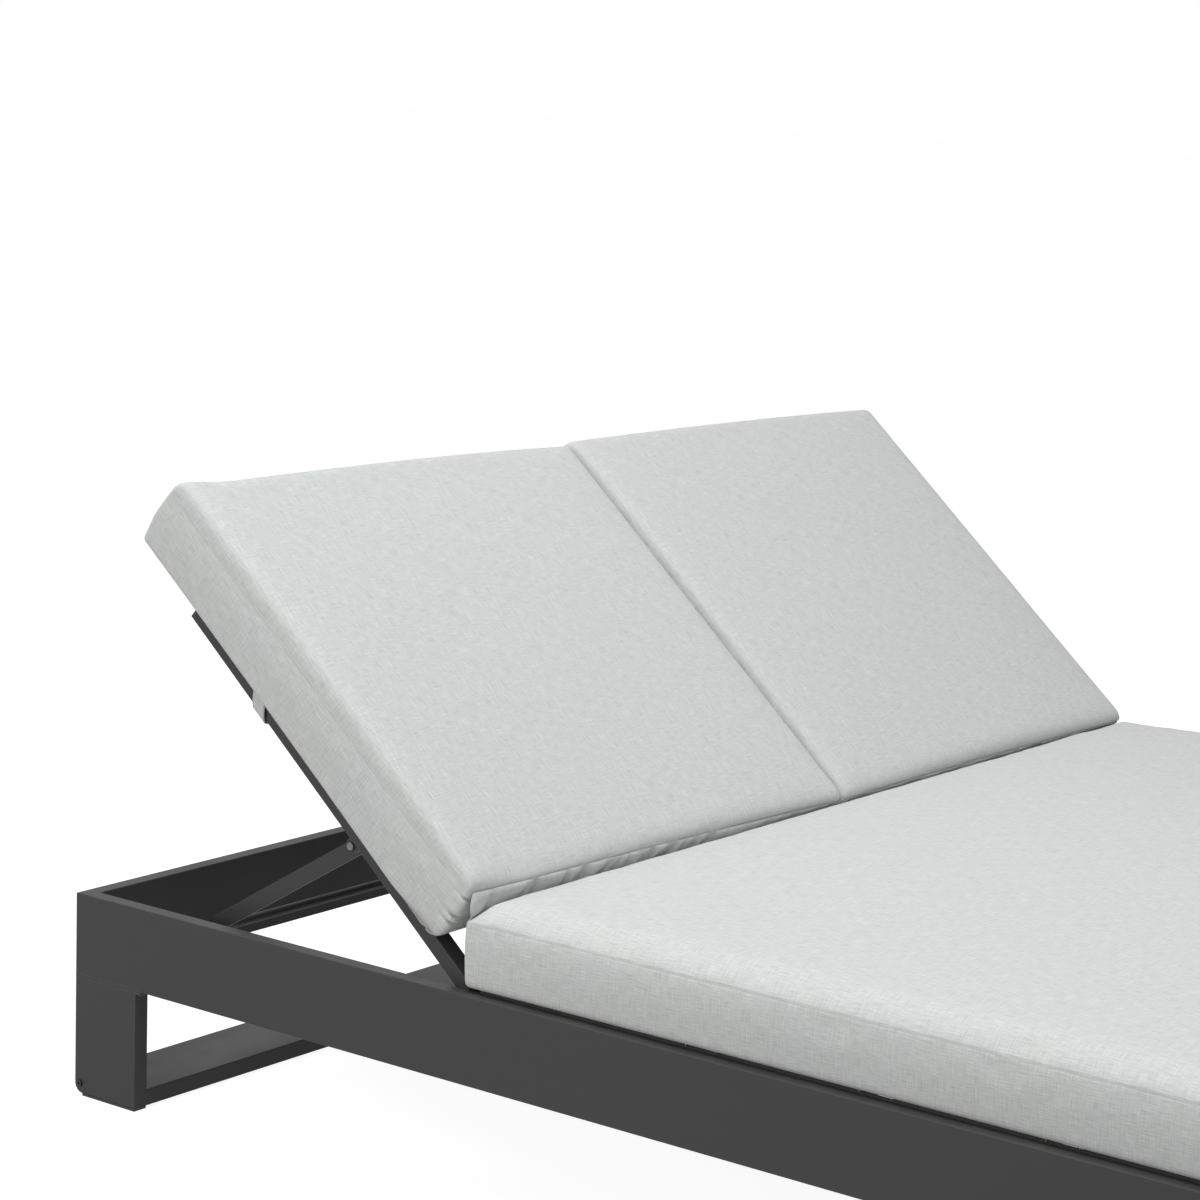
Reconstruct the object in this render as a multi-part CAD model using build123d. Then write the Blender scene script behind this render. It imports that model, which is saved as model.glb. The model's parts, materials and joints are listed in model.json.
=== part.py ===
from build123d import *
import os
from math import asin, cos, degrees, pi, radians, sin, sqrt

# Double chaise lounger, in millimetres. X runs from the head (-) to the foot (+),
# Y from the near side (-) to the far side (+), Z up from the ground.

# Whole lounger
LOUNGER_LENGTH = 2000.0
LOUNGER_WIDTH = 1600.0
FRAME_HEIGHT = 281.0

# Frame tube, used for rails, posts and floor bars
RAIL_DEPTH = 114.0
RAIL_THICKNESS = 23.0
RAIL_WALL = 2.0
RAIL_EDGE_RADIUS = 1.5

# Legs
GLIDE_THICKNESS = 3.0
GLIDE_PEG_RADIUS = 4.0
GLIDE_PEG_LENGTH = 6.0
TOE_RADIUS = 14.0
POST_WEB_RADIUS = 6.0
LEG_SCREW_INSET = 10.0
LEG_SCREW_HEIGHT = 17.0
LEG_SCREW_RADIUS = 2.5
LEG_SCREW_LENGTH = 32.0
LEG_SCREW_HEAD_RADIUS = 4.6
LEG_SCREW_HEAD_HEIGHT = 2.4
LEG_SCREW_SOCKET_RADIUS = 1.8
LEG_SCREW_SOCKET_DEPTH = 1.4

# Centre beam and cross beams
CENTRE_BEAM_DEPTH = 90.0
CROSS_BEAM_WIDTH = 50.0
CROSS_BEAM_DEPTH = 25.0
CROSS_BEAM_DROP = 18.0

# Seat ledges and slats
LEDGE_WIDTH = 20.0
LEDGE_THICKNESS = 2.0
SLAT_RISE = 5.0
SLAT_DEPTH = 20.0
SLAT_WIDTH = 60.0
SLAT_WALL = 1.5
SLAT_LEAST_PITCH = 120.0
SLAT_END_CLEARANCE = 1.0
FIRST_SLAT_GAP = 8.0

# Back frames
HINGE_FROM_HEAD = 663.0
REST_RECLINE_DEG = 40.8
MAX_RECLINE_DEG = 55.0
BACK_TUBE_LENGTH = 628.0
BACK_TUBE_DEPTH = 21.0
BACK_TUBE_WIDTH = 26.0
BACK_TUBE_WALL = 1.8
SIDE_GAP = 5.5
CENTRE_GAP = 2.0
LOWER_TUBE_START = 105.0
BACK_SLAT_WIDTH = 40.0
BACK_SLAT_DEPTH = 12.0
BACK_SLAT_LEAST_PITCH = 100.0
PLUG_THICKNESS = 2.0
PLUG_DEPTH = 12.0
PLUG_CLEARANCE = 0.1

# Hinge bolts and bushes
HINGE_BOLT_RADIUS = 4.0
HINGE_BOLT_HEAD_RADIUS = 7.0
HINGE_BOLT_HEAD_HEIGHT = 4.5
BUSH_RADIUS = 9.0
RUNNING_CLEARANCE = 0.05
SIDE_CLEARANCE = 0.3

# Stays: flat struts joined by a round rod
STRUT_PIVOT_REACH = 248.7
STRUT_PIVOT_DROP = 18.9
STRUT_LENGTH = 337.0
STRUT_WIDTH = 22.0
STRUT_THICKNESS = 5.0
STRUT_BOLT_RADIUS = 3.0
STRUT_BOLT_HEAD_RADIUS = 5.0
STRUT_BOLT_HEAD_HEIGHT = 4.0
STRUT_NUT_HEIGHT = 4.0
LUG_WIDTH = 20.0
LUG_INSET = 5.5
STRUT_GAP = 3.0
ROD_RADIUS = 6.35
ROD_WALL = 1.5
ROD_DROP = 32.9
ROD_END_GAP = 1.5

# Racks that catch the stay rods
RACK_POSITIONS_DEG = (15.0, 24.0, 32.5, REST_RECLINE_DEG, 48.0, MAX_RECLINE_DEG)
RACK_THICKNESS = 10.0
RACK_HEIGHT = 24.0
RACK_MARGIN = 14.0
RACK_CLEARANCE = 0.4
NOTCH_DEPTH = 5.0
NOTCH_CLEARANCE = 0.5

# Cushions
CUSHION_INSET = 11.0
SEAT_FROM_HEAD = 676.0
SEAT_FOOT_INSET = 11.0
SEAT_THICKNESS = 84.5
SEAT_CROWN = 30.0
SEAT_EDGE_RADIUS = 9.0
BACK_CUSHION_GAP = 4.0
BACK_CUSHION_START = 72.0
BACK_CUSHION_LENGTH = 676.0
BACK_CUSHION_THICKNESS = 98.0
BACK_CUSHION_CROWN = 16.0
BACK_EDGE_RADIUS = 14.0
SIDE_DRAW_IN = 2.5
CUSHION_CLEARANCE = 0.3
CUSHION_END_STEPS = 4
CUSHION_SPAN_STEPS = 8
END_CORNER_SHARE = 0.66
EDGE_CROWN_SHARE = 0.11

# Fabric straps and hinge flaps
BACK_STRAP_WIDTH = 30.0
BACK_STRAP_THICKNESS = 1.6
BACK_STRAP_SLACK = 0.4
SEAT_STRAP_WIDTH = 42.0
SEAT_STRAP_THICKNESS = 1.5
SLATS_PER_SEAT_STRAP = 2
SEAT_STRAP_DROP = 24.0
FLAP_THICKNESS = 3.0
FLAP_REACH = 17.0
FLAP_RISE = 15.0
FLAP_END_GAP = 10.0
FLAP_CREST_SHARE = 0.25

# One overrun for all cuts
OVERRUN = 5.0

# Places worked out from the sizes
HEAD_X = -LOUNGER_LENGTH / 2
FOOT_X = LOUNGER_LENGTH / 2
HALF_WIDTH = LOUNGER_WIDTH / 2
RAIL_INNER_Y = HALF_WIDTH - RAIL_THICKNESS
POST_TOP = FRAME_HEIGHT - RAIL_DEPTH
BEAM_HALF = RAIL_THICKNESS / 2
SLAT_TOP = FRAME_HEIGHT + SLAT_RISE
LEDGE_TOP = SLAT_TOP - SLAT_DEPTH
CROSS_BEAM_TOP = FRAME_HEIGHT - CROSS_BEAM_DROP
HINGE_X = HEAD_X + HINGE_FROM_HEAD
HINGE_Z = SLAT_TOP - BACK_TUBE_DEPTH / 2
BACK_OUTER_Y = RAIL_INNER_Y - SIDE_GAP
BACK_INNER_Y = BEAM_HALF + CENTRE_GAP
BACK_MIDDLE_Y = (BACK_OUTER_Y + BACK_INNER_Y) / 2
BACK_HALF_WIDTH = (BACK_OUTER_Y - BACK_INNER_Y) / 2
PIVOT_X = HINGE_X - STRUT_PIVOT_REACH
PIVOT_Z = HINGE_Z - STRUT_PIVOT_DROP
ROD_Z = FRAME_HEIGHT - ROD_DROP
STRUT_MIDDLE = BACK_HALF_WIDTH - BACK_TUBE_WIDTH - STRUT_GAP - STRUT_THICKNESS / 2


def turned(x, z, angle_deg):
    """A point of the folded-flat back, turned up about the hinge line."""
    dx = x - HINGE_X
    dz = z - HINGE_Z
    turn = radians(angle_deg)
    return HINGE_X + dx * cos(turn) + dz * sin(turn), HINGE_Z - dx * sin(turn) + dz * cos(turn)


def strut_angle_for_rod_height(recline_deg):
    """The strut's slope, in degrees below level, that puts the rod at its resting height."""
    pivot_x, pivot_z = turned(PIVOT_X, PIVOT_Z, recline_deg)
    return degrees(asin((pivot_z - ROD_Z) / STRUT_LENGTH))


STRUT_FLAT_DEG = strut_angle_for_rod_height(0)
STRUT_REST_DEG = strut_angle_for_rod_height(REST_RECLINE_DEG)
STRUT_RATE = (STRUT_REST_DEG - STRUT_FLAT_DEG) / REST_RECLINE_DEG


def rod_centre(recline_deg):
    """The rod's centre at a recline, where the strut turns in step with the back."""
    pivot_x, pivot_z = turned(PIVOT_X, PIVOT_Z, recline_deg)
    slope = radians(STRUT_FLAT_DEG + STRUT_RATE * recline_deg)
    return pivot_x - STRUT_LENGTH * cos(slope), pivot_z - STRUT_LENGTH * sin(slope)


def swing(shape, x, z, angle_deg):
    """Turns a shape up about a line along Y."""
    return Pos(x, 0, z) * Rot(0, angle_deg, 0) * Pos(-x, 0, -z) * shape


def reclined(shape):
    """Turns a folded-flat back piece up to its resting recline."""
    return swing(shape, HINGE_X, HINGE_Z, REST_RECLINE_DEG)


def block(low, high):
    """A block between two opposite corners."""
    sizes = [b - a for a, b in zip(low, high)]
    middle = [(a + b) / 2 for a, b in zip(low, high)]
    return Pos(*middle) * Box(*sizes)


def tube_profile(width, depth, wall, radius):
    """An extruded tube's section, rounded outside and square inside."""
    return RectangleRounded(width, depth, radius) - Rectangle(width - 2 * wall, depth - 2 * wall)


def tube_x(x0, x1, y, z, width, depth, wall):
    """A tube along X with its section centred on y, z."""
    section = Plane.YZ * tube_profile(width, depth, wall, RAIL_EDGE_RADIUS)
    return Pos(x0, y, z) * extrude(section, amount=x1 - x0)


def tube_y(y0, y1, x, z, width, depth, wall):
    """A tube along Y with its section centred on x, z."""
    section = Plane.XZ * tube_profile(width, depth, wall, RAIL_EDGE_RADIUS)
    return Pos(x, y1, z) * extrude(section, amount=y1 - y0)


def rod_y(y0, y1, x, z, radius):
    """A round bar along Y."""
    return Pos(x, (y0 + y1) / 2, z) * Rot(90, 0, 0) * Cylinder(radius, abs(y1 - y0))


def side_profile(points):
    """A closed face in the XZ plane from points of x and z."""
    corners = [Vector(x, 0, z) for x, z in points]
    return make_face(Polyline(*corners, close=True))


def through_y(face, y0, y1):
    """Extrudes a face of the XZ plane from y0 to y1."""
    return Pos(0, y0, 0) * extrude(face, amount=y1 - y0, dir=(0, 1, 0))


# Welded outer frame: four rails mitred at the corners
def mitre_waste(outer_x, reach):
    """What comes off a rail's end at the corner outer_x, -reach: the far side of the mitre and the sharp edge."""
    beyond_x = outer_x + OVERRUN
    below_y = -reach - OVERRUN
    inside_x = outer_x - RAIL_THICKNESS - OVERRUN
    inside_y = -reach + RAIL_THICKNESS + OVERRUN
    radius = RAIL_EDGE_RADIUS
    inset = radius * (1 - cos(pi / 4))
    arc_x = outer_x - radius
    arc_y = -reach + radius
    mitre = make_face(Polyline((beyond_x, below_y), (beyond_x, inside_y), (inside_x, inside_y), close=True))
    corner = make_face([
        Line((arc_x, -reach), (arc_x, below_y)),
        Line((arc_x, below_y), (beyond_x, below_y)),
        Line((beyond_x, below_y), (beyond_x, arc_y)),
        Line((beyond_x, arc_y), (outer_x, arc_y)),
        ThreePointArc((outer_x, arc_y), (outer_x - inset, -reach + inset), (arc_x, -reach)),
    ])
    height = FRAME_HEIGHT + OVERRUN
    return extrude(mitre, amount=height), extrude(corner, amount=height)


def mitred_rail(length, reach):
    """A rail along X with its outer face at y = -reach, mitred ends and slightly rounded corners."""
    middle_z = FRAME_HEIGHT - RAIL_DEPTH / 2
    rail = tube_x(-length / 2, length / 2, -reach + RAIL_THICKNESS / 2, middle_z,
                  RAIL_THICKNESS, RAIL_DEPTH, RAIL_WALL)
    for waste in mitre_waste(length / 2, reach):
        rail -= waste
        rail -= mirror(waste, about=Plane.YZ)
    return rail


def rail_bore(y_side):
    """The hinge bolt's bore in a side rail's inner wall."""
    wall_y = y_side * RAIL_INNER_Y
    return rod_y(wall_y + y_side * (RAIL_WALL + OVERRUN), wall_y - y_side * OVERRUN, HINGE_X, HINGE_Z,
                 HINGE_BOLT_RADIUS + RUNNING_CLEARANCE)


def make_rails():
    long_rail = mitred_rail(LOUNGER_LENGTH, HALF_WIDTH)
    short_rail = mitred_rail(LOUNGER_WIDTH, LOUNGER_LENGTH / 2)
    return {
        "side_rail_near": long_rail - rail_bore(-1),
        "side_rail_far": mirror(long_rail, about=Plane.XZ) - rail_bore(1),
        "head_rail": Rot(0, 0, -90) * short_rail,
        "foot_rail": Rot(0, 0, 90) * short_rail,
    }


# Leg posts, floor bars, glides and leg screws
def post_outline():
    """The post's side view at the head, with its rounded toe and its small web under the rail."""
    inner_x = HEAD_X + RAIL_DEPTH
    toe = TOE_RADIUS
    web = POST_WEB_RADIUS
    turn = cos(pi / 4)
    bottom = GLIDE_THICKNESS
    lines = [
        Line((HEAD_X, 0, POST_TOP), (HEAD_X, 0, bottom + toe)),
        ThreePointArc((HEAD_X, 0, bottom + toe),
                      (HEAD_X + toe * (1 - turn), 0, bottom + toe * (1 - turn)),
                      (HEAD_X + toe, 0, bottom)),
        Line((HEAD_X + toe, 0, bottom), (inner_x, 0, bottom)),
        Line((inner_x, 0, bottom), (inner_x, 0, POST_TOP - web)),
        ThreePointArc((inner_x, 0, POST_TOP - web),
                      (inner_x + web * (1 - turn), 0, POST_TOP - web * (1 - turn)),
                      (inner_x + web, 0, POST_TOP)),
        Line((inner_x + web, 0, POST_TOP), (HEAD_X, 0, POST_TOP)),
    ]
    return make_face(lines)


def post_cavity():
    """The hollow of the head post, closed below by a plate that follows the toe."""
    wall = RAIL_WALL
    left = HEAD_X + wall
    right = HEAD_X + RAIL_DEPTH - wall
    low = GLIDE_THICKNESS + wall
    radius = TOE_RADIUS - wall
    turn = cos(pi / 4)
    lines = [
        Line((left, 0, POST_TOP + OVERRUN), (left, 0, low + radius)),
        ThreePointArc((left, 0, low + radius), (left + radius * (1 - turn), 0, low + radius * (1 - turn)),
                      (left + radius, 0, low)),
        Line((left + radius, 0, low), (right, 0, low)),
        Line((right, 0, low), (right, 0, POST_TOP + OVERRUN)),
        Line((right, 0, POST_TOP + OVERRUN), (left, 0, POST_TOP + OVERRUN)),
    ]
    return make_face(lines)


def head_near_post():
    """The post at the head on the near side."""
    y0 = -HALF_WIDTH
    y1 = y0 + RAIL_THICKNESS
    post = through_y(post_outline(), y0, y1)
    long_edges = post.edges().filter_by(Axis.Z)
    post = fillet(long_edges.sort_by(Axis.X)[:2], RAIL_EDGE_RADIUS)
    post -= through_y(post_cavity(), y0 + RAIL_WALL, y1 - RAIL_WALL)
    post -= rod_y(y0 - OVERRUN, y1 + OVERRUN, HEAD_X + LEG_SCREW_INSET, LEG_SCREW_HEIGHT,
                  LEG_SCREW_RADIUS + RUNNING_CLEARANCE)
    peg_x = HEAD_X + (TOE_RADIUS + RAIL_DEPTH) / 2
    peg_hole = Cylinder(GLIDE_PEG_RADIUS + RUNNING_CLEARANCE, 2 * (RAIL_WALL + GLIDE_THICKNESS) + OVERRUN)
    return post - Pos(peg_x, (y0 + y1) / 2, GLIDE_THICKNESS) * peg_hole


def head_near_glide():
    """The black glide under the post at the head on the near side."""
    x0 = HEAD_X + TOE_RADIUS
    x1 = HEAD_X + RAIL_DEPTH
    y_middle = -HALF_WIDTH + RAIL_THICKNESS / 2
    plan = RectangleRounded(x1 - x0, RAIL_THICKNESS, RAIL_EDGE_RADIUS)
    pad = Pos((x0 + x1) / 2, y_middle, 0) * extrude(plan, amount=GLIDE_THICKNESS)
    peg = Cylinder(GLIDE_PEG_RADIUS, GLIDE_PEG_LENGTH, align=(Align.CENTER, Align.CENTER, Align.MIN))
    return pad + Pos((x0 + x1) / 2, y_middle, GLIDE_THICKNESS) * peg


def head_near_screw():
    """The leg screw at the head on the near side, with its driver socket."""
    x = HEAD_X + LEG_SCREW_INSET
    z = LEG_SCREW_HEIGHT
    face = -HALF_WIDTH
    head_y = face - LEG_SCREW_HEAD_HEIGHT
    screw = rod_y(head_y, face, x, z, LEG_SCREW_HEAD_RADIUS)
    screw += rod_y(face, face + LEG_SCREW_LENGTH, x, z, LEG_SCREW_RADIUS)
    return screw - rod_y(head_y - OVERRUN, head_y + LEG_SCREW_SOCKET_DEPTH, x, z, LEG_SCREW_SOCKET_RADIUS)


def four_corners(shape):
    """The piece at the head on the near side, and its copies at the other corners."""
    near_foot = mirror(shape, about=Plane.YZ)
    return {
        "head_near": shape,
        "head_far": mirror(shape, about=Plane.XZ),
        "foot_near": near_foot,
        "foot_far": mirror(near_foot, about=Plane.XZ),
    }


def floor_bar(x_side):
    """The flat floor bar between a pair of posts."""
    middle_x = x_side * (LOUNGER_LENGTH - RAIL_DEPTH) / 2
    middle_z = GLIDE_THICKNESS + RAIL_THICKNESS / 2
    return tube_y(-RAIL_INNER_Y, RAIL_INNER_Y, middle_x, middle_z, RAIL_DEPTH, RAIL_THICKNESS, RAIL_WALL)


def make_legs():
    pieces = {}
    for corner, post in four_corners(head_near_post()).items():
        pieces["leg_post_" + corner] = post
    for corner, glide in four_corners(head_near_glide()).items():
        pieces["leg_glide_" + corner] = glide
    pieces["leg_screws"] = Compound(list(four_corners(head_near_screw()).values()))
    pieces["floor_bar_head"] = floor_bar(-1)
    pieces["floor_bar_foot"] = floor_bar(1)
    return pieces


# Centre beam, cross beams, ledges and seat slats
def centre_beam():
    """The beam from head rail to foot rail, bored for the inner hinge bolts."""
    inner_x = LOUNGER_LENGTH / 2 - RAIL_THICKNESS
    beam = tube_x(-inner_x, inner_x, 0, FRAME_HEIGHT - CENTRE_BEAM_DEPTH / 2,
                  RAIL_THICKNESS, CENTRE_BEAM_DEPTH, RAIL_WALL)
    return beam - rod_y(-BEAM_HALF - OVERRUN, BEAM_HALF + OVERRUN, HINGE_X, HINGE_Z,
                        HINGE_BOLT_RADIUS + RUNNING_CLEARANCE)


def cross_beam(y_side):
    """The beam under the hinge line, from side rail to centre beam."""
    y0, y1 = sorted((y_side * BEAM_HALF, y_side * RAIL_INNER_Y))
    return tube_y(y0, y1, HINGE_X, CROSS_BEAM_TOP - CROSS_BEAM_DEPTH / 2,
                  CROSS_BEAM_WIDTH, CROSS_BEAM_DEPTH, RAIL_WALL)


def ledge(wall_y, inward):
    """A ledge along X on a wall: a flange under the slats and a lip at their ends, notched for the straps."""
    low = LEDGE_TOP - LEDGE_WIDTH
    web_y = wall_y + inward * LEDGE_THICKNESS
    flange_y = wall_y + inward * LEDGE_WIDTH
    flange_low = LEDGE_TOP - LEDGE_THICKNESS
    points = [(wall_y, low), (web_y, low), (web_y, flange_low), (flange_y, flange_low),
              (flange_y, LEDGE_TOP), (web_y, LEDGE_TOP), (web_y, SLAT_TOP), (wall_y, SLAT_TOP)]
    section = make_face(Polyline(*[Vector(0, y, z) for y, z in points], close=True))
    x0 = HINGE_X + CROSS_BEAM_WIDTH / 2
    x1 = FOOT_X - RAIL_THICKNESS
    angle = Pos(x0, 0, 0) * extrude(section, amount=x1 - x0, dir=(1, 0, 0))
    y0, y1 = sorted((wall_y - inward * OVERRUN, web_y + inward * OVERRUN))
    half = SEAT_STRAP_WIDTH / 2 + SIDE_CLEARANCE
    notch_low = SLAT_TOP - SEAT_STRAP_THICKNESS - SIDE_CLEARANCE
    for x in seat_strap_middles():
        angle -= block((x - half, y0, notch_low), (x + half, y1, SLAT_TOP + OVERRUN))
    return angle


def slat_middles():
    """The x of each seat slat's centre line, evenly spaced to the foot rail."""
    first = HINGE_X + (CROSS_BEAM_WIDTH + SLAT_WIDTH) / 2 + FIRST_SLAT_GAP
    last = FOOT_X - RAIL_THICKNESS - SLAT_WIDTH / 2 - FIRST_SLAT_GAP
    spaces = int((last - first) / SLAT_LEAST_PITCH)
    return [first + (last - first) * index / spaces for index in range(spaces + 1)]


def seat_strap_middles():
    """The x of each seat strap, in the gaps between slats."""
    middles = slat_middles()
    gaps = range(0, len(middles) - 1, SLATS_PER_SEAT_STRAP)
    return [(middles[index] + middles[index + 1]) / 2 for index in gaps]


def seat_slats(y_side):
    """One half's slats, from the side rail's ledge to the centre beam's."""
    end_gap = LEDGE_THICKNESS + SLAT_END_CLEARANCE
    ends = (y_side * (BEAM_HALF + end_gap), y_side * (RAIL_INNER_Y - end_gap))
    y0, y1 = sorted(ends)
    middle_z = SLAT_TOP - SLAT_DEPTH / 2
    return Compound([tube_y(y0, y1, x, middle_z, SLAT_WIDTH, SLAT_DEPTH, SLAT_WALL) for x in slat_middles()])


def make_base():
    return {
        "centre_beam": centre_beam(),
        "cross_beam_near": cross_beam(-1),
        "cross_beam_far": cross_beam(1),
        "side_ledge_near": ledge(-RAIL_INNER_Y, 1),
        "side_ledge_far": ledge(RAIL_INNER_Y, -1),
        "centre_ledges": Compound([ledge(-BEAM_HALF, -1), ledge(BEAM_HALF, 1)]),
        "seat_slats_near": seat_slats(-1),
        "seat_slats_far": seat_slats(1),
    }


# Notched racks for the stay rods
def rack_outline():
    """The rack's side view: its top follows the rod's path, with one round notch per position."""
    radius = ROD_RADIUS + NOTCH_CLEARANCE
    edge_drop = ROD_RADIUS + RACK_CLEARANCE
    first_x, first_z = rod_centre(0)
    last_x, last_z = rod_centre(MAX_RECLINE_DEG)
    start_x = first_x - RACK_MARGIN
    end_x = last_x + RACK_MARGIN
    bottom = last_z - edge_drop - RACK_HEIGHT
    lines = [Line((start_x, 0, bottom), (start_x, 0, first_z - edge_drop))]
    here = (start_x, 0, first_z - edge_drop)
    for position in RACK_POSITIONS_DEG:
        x, z = rod_centre(position)
        lip_z = z - edge_drop
        left = (x - radius, 0, min(here[2], lip_z))
        right = (x + radius, 0, lip_z)
        lines.append(Line(here, left))
        lines.append(ThreePointArc(left, (x, 0, lip_z - NOTCH_DEPTH), right))
        here = right
    end = (end_x, 0, last_z - edge_drop)
    lines.append(Line(here, end))
    lines.append(Line(end, (end_x, 0, bottom)))
    lines.append(Line((end_x, 0, bottom), (start_x, 0, bottom)))
    return make_face(lines)


def make_racks():
    outline = rack_outline()
    walls = {
        "rack_near_outer": (-RAIL_INNER_Y, 1),
        "rack_near_inner": (-BEAM_HALF, -1),
        "rack_far_inner": (BEAM_HALF, 1),
        "rack_far_outer": (RAIL_INNER_Y, -1),
    }
    pieces = {}
    for name, (wall_y, inward) in walls.items():
        y0, y1 = sorted((wall_y, wall_y + inward * RACK_THICKNESS))
        pieces[name] = through_y(outline, y0, y1)
    return pieces


# Hinge bolts and bushes
def hinge_places():
    """Each back tube's wall and the direction from that wall into the tube."""
    return [(-RAIL_INNER_Y, 1, SIDE_GAP), (-BEAM_HALF, -1, CENTRE_GAP),
            (BEAM_HALF, 1, CENTRE_GAP), (RAIL_INNER_Y, -1, SIDE_GAP)]


def hinge_bolt(wall_y, inward, gap):
    """A bolt from inside the wall through bush and tube, with its head beyond the tube."""
    start = wall_y - inward * RAIL_WALL
    head_start = wall_y + inward * (gap + BACK_TUBE_WIDTH + SIDE_CLEARANCE)
    head_end = head_start + inward * HINGE_BOLT_HEAD_HEIGHT
    bolt = rod_y(start, head_end, HINGE_X, HINGE_Z, HINGE_BOLT_RADIUS)
    return bolt + rod_y(head_start, head_end, HINGE_X, HINGE_Z, HINGE_BOLT_HEAD_RADIUS)


def hinge_bush(wall_y, inward, gap):
    """The nylon bush between wall and tube."""
    end = wall_y + inward * (gap - SIDE_CLEARANCE)
    ring = rod_y(wall_y, end, HINGE_X, HINGE_Z, BUSH_RADIUS)
    bore = rod_y(wall_y - inward * OVERRUN, end + inward * OVERRUN, HINGE_X, HINGE_Z,
                 HINGE_BOLT_RADIUS + RUNNING_CLEARANCE)
    return ring - bore


def make_hinges():
    return {
        "hinge_bolts": Compound([hinge_bolt(*place) for place in hinge_places()]),
        "hinge_bushes": Compound([hinge_bush(*place) for place in hinge_places()]),
    }


# Back frames, modelled flat and then turned up
def back_side_tube(y):
    """A side tube along X with a round lower end, bored for the hinge bolt."""
    half = BACK_TUBE_DEPTH / 2
    y0 = y - BACK_TUBE_WIDTH / 2
    y1 = y + BACK_TUBE_WIDTH / 2
    end_x = HINGE_X - BACK_TUBE_LENGTH
    tube = tube_x(end_x, HINGE_X, y, HINGE_Z, BACK_TUBE_WIDTH, BACK_TUBE_DEPTH, BACK_TUBE_WALL)
    knuckle = rod_y(y0, y1, HINGE_X, HINGE_Z, half)
    knuckle += block((HINGE_X - half, y0 + BACK_TUBE_WALL, HINGE_Z - half + BACK_TUBE_WALL),
                     (HINGE_X, y1 - BACK_TUBE_WALL, HINGE_Z + half - BACK_TUBE_WALL))
    bore = rod_y(y0 - OVERRUN, y1 + OVERRUN, HINGE_X, HINGE_Z, HINGE_BOLT_RADIUS + RUNNING_CLEARANCE)
    return tube + knuckle - bore


def back_cross_tube(start, y_middle):
    """A tube across the back frame, its nearer edge at a distance up from the hinge."""
    y0 = y_middle - BACK_HALF_WIDTH + BACK_TUBE_WIDTH
    y1 = y_middle + BACK_HALF_WIDTH - BACK_TUBE_WIDTH
    x = HINGE_X - start - BACK_TUBE_WIDTH / 2
    return tube_y(y0, y1, x, HINGE_Z, BACK_TUBE_WIDTH, BACK_TUBE_DEPTH, BACK_TUBE_WALL)


def back_slat_reaches():
    """Each back slat's distance up from the hinge, with even gaps from the lower tube to the top tube."""
    start = LOWER_TUBE_START + BACK_TUBE_WIDTH - BACK_SLAT_WIDTH / 2
    end = BACK_TUBE_LENGTH - BACK_TUBE_WIDTH + BACK_SLAT_WIDTH / 2
    spaces = int((end - start) / BACK_SLAT_LEAST_PITCH)
    return [start + (end - start) * index / spaces for index in range(1, spaces)]


def back_slats(y_middle):
    """The slats between the lower tube and the top tube, flush with their upper faces."""
    y0 = y_middle - BACK_HALF_WIDTH + BACK_TUBE_WIDTH
    y1 = y_middle + BACK_HALF_WIDTH - BACK_TUBE_WIDTH
    middle_z = SLAT_TOP - BACK_SLAT_DEPTH / 2
    return [tube_y(y0, y1, HINGE_X - reach, middle_z, BACK_SLAT_WIDTH, BACK_SLAT_DEPTH, SLAT_WALL)
            for reach in back_slat_reaches()]


def tube_plug(y):
    """The plug in a side tube's open upper end."""
    end_x = HINGE_X - BACK_TUBE_LENGTH
    flange = RectangleRounded(BACK_TUBE_WIDTH, BACK_TUBE_DEPTH, RAIL_EDGE_RADIUS)
    inset = 2 * (BACK_TUBE_WALL + PLUG_CLEARANCE)
    shank = RectangleRounded(BACK_TUBE_WIDTH - inset, BACK_TUBE_DEPTH - inset, RAIL_EDGE_RADIUS)
    plug = Pos(end_x - PLUG_THICKNESS, y, HINGE_Z) * extrude(Plane.YZ * flange, amount=PLUG_THICKNESS)
    return plug + Pos(end_x, y, HINGE_Z) * extrude(Plane.YZ * shank, amount=PLUG_DEPTH)


def strut_lug(y_tube, inward):
    """The lug under a side tube that holds the strut's pivot bolt."""
    tube_bottom = HINGE_Z - BACK_TUBE_DEPTH / 2
    half = LUG_WIDTH / 2
    outer_face = y_tube + inward * (LUG_INSET - BACK_TUBE_WIDTH / 2)
    strut_face = y_tube + inward * (BACK_TUBE_WIDTH / 2 + STRUT_GAP - SIDE_CLEARANCE)
    y0, y1 = sorted((outer_face, strut_face))
    plate = block((PIVOT_X - half, y0, PIVOT_Z), (PIVOT_X + half, y1, tube_bottom))
    round_end = rod_y(y0, y1, PIVOT_X, PIVOT_Z, half)
    below = block((PIVOT_X - half - OVERRUN, y0 - OVERRUN, PIVOT_Z - half - OVERRUN),
                  (PIVOT_X + half + OVERRUN, y1 + OVERRUN, PIVOT_Z))
    bore = rod_y(y0 - OVERRUN, y1 + OVERRUN, PIVOT_X, PIVOT_Z, STRUT_BOLT_RADIUS)
    return plate + (round_end & below) - bore


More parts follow.
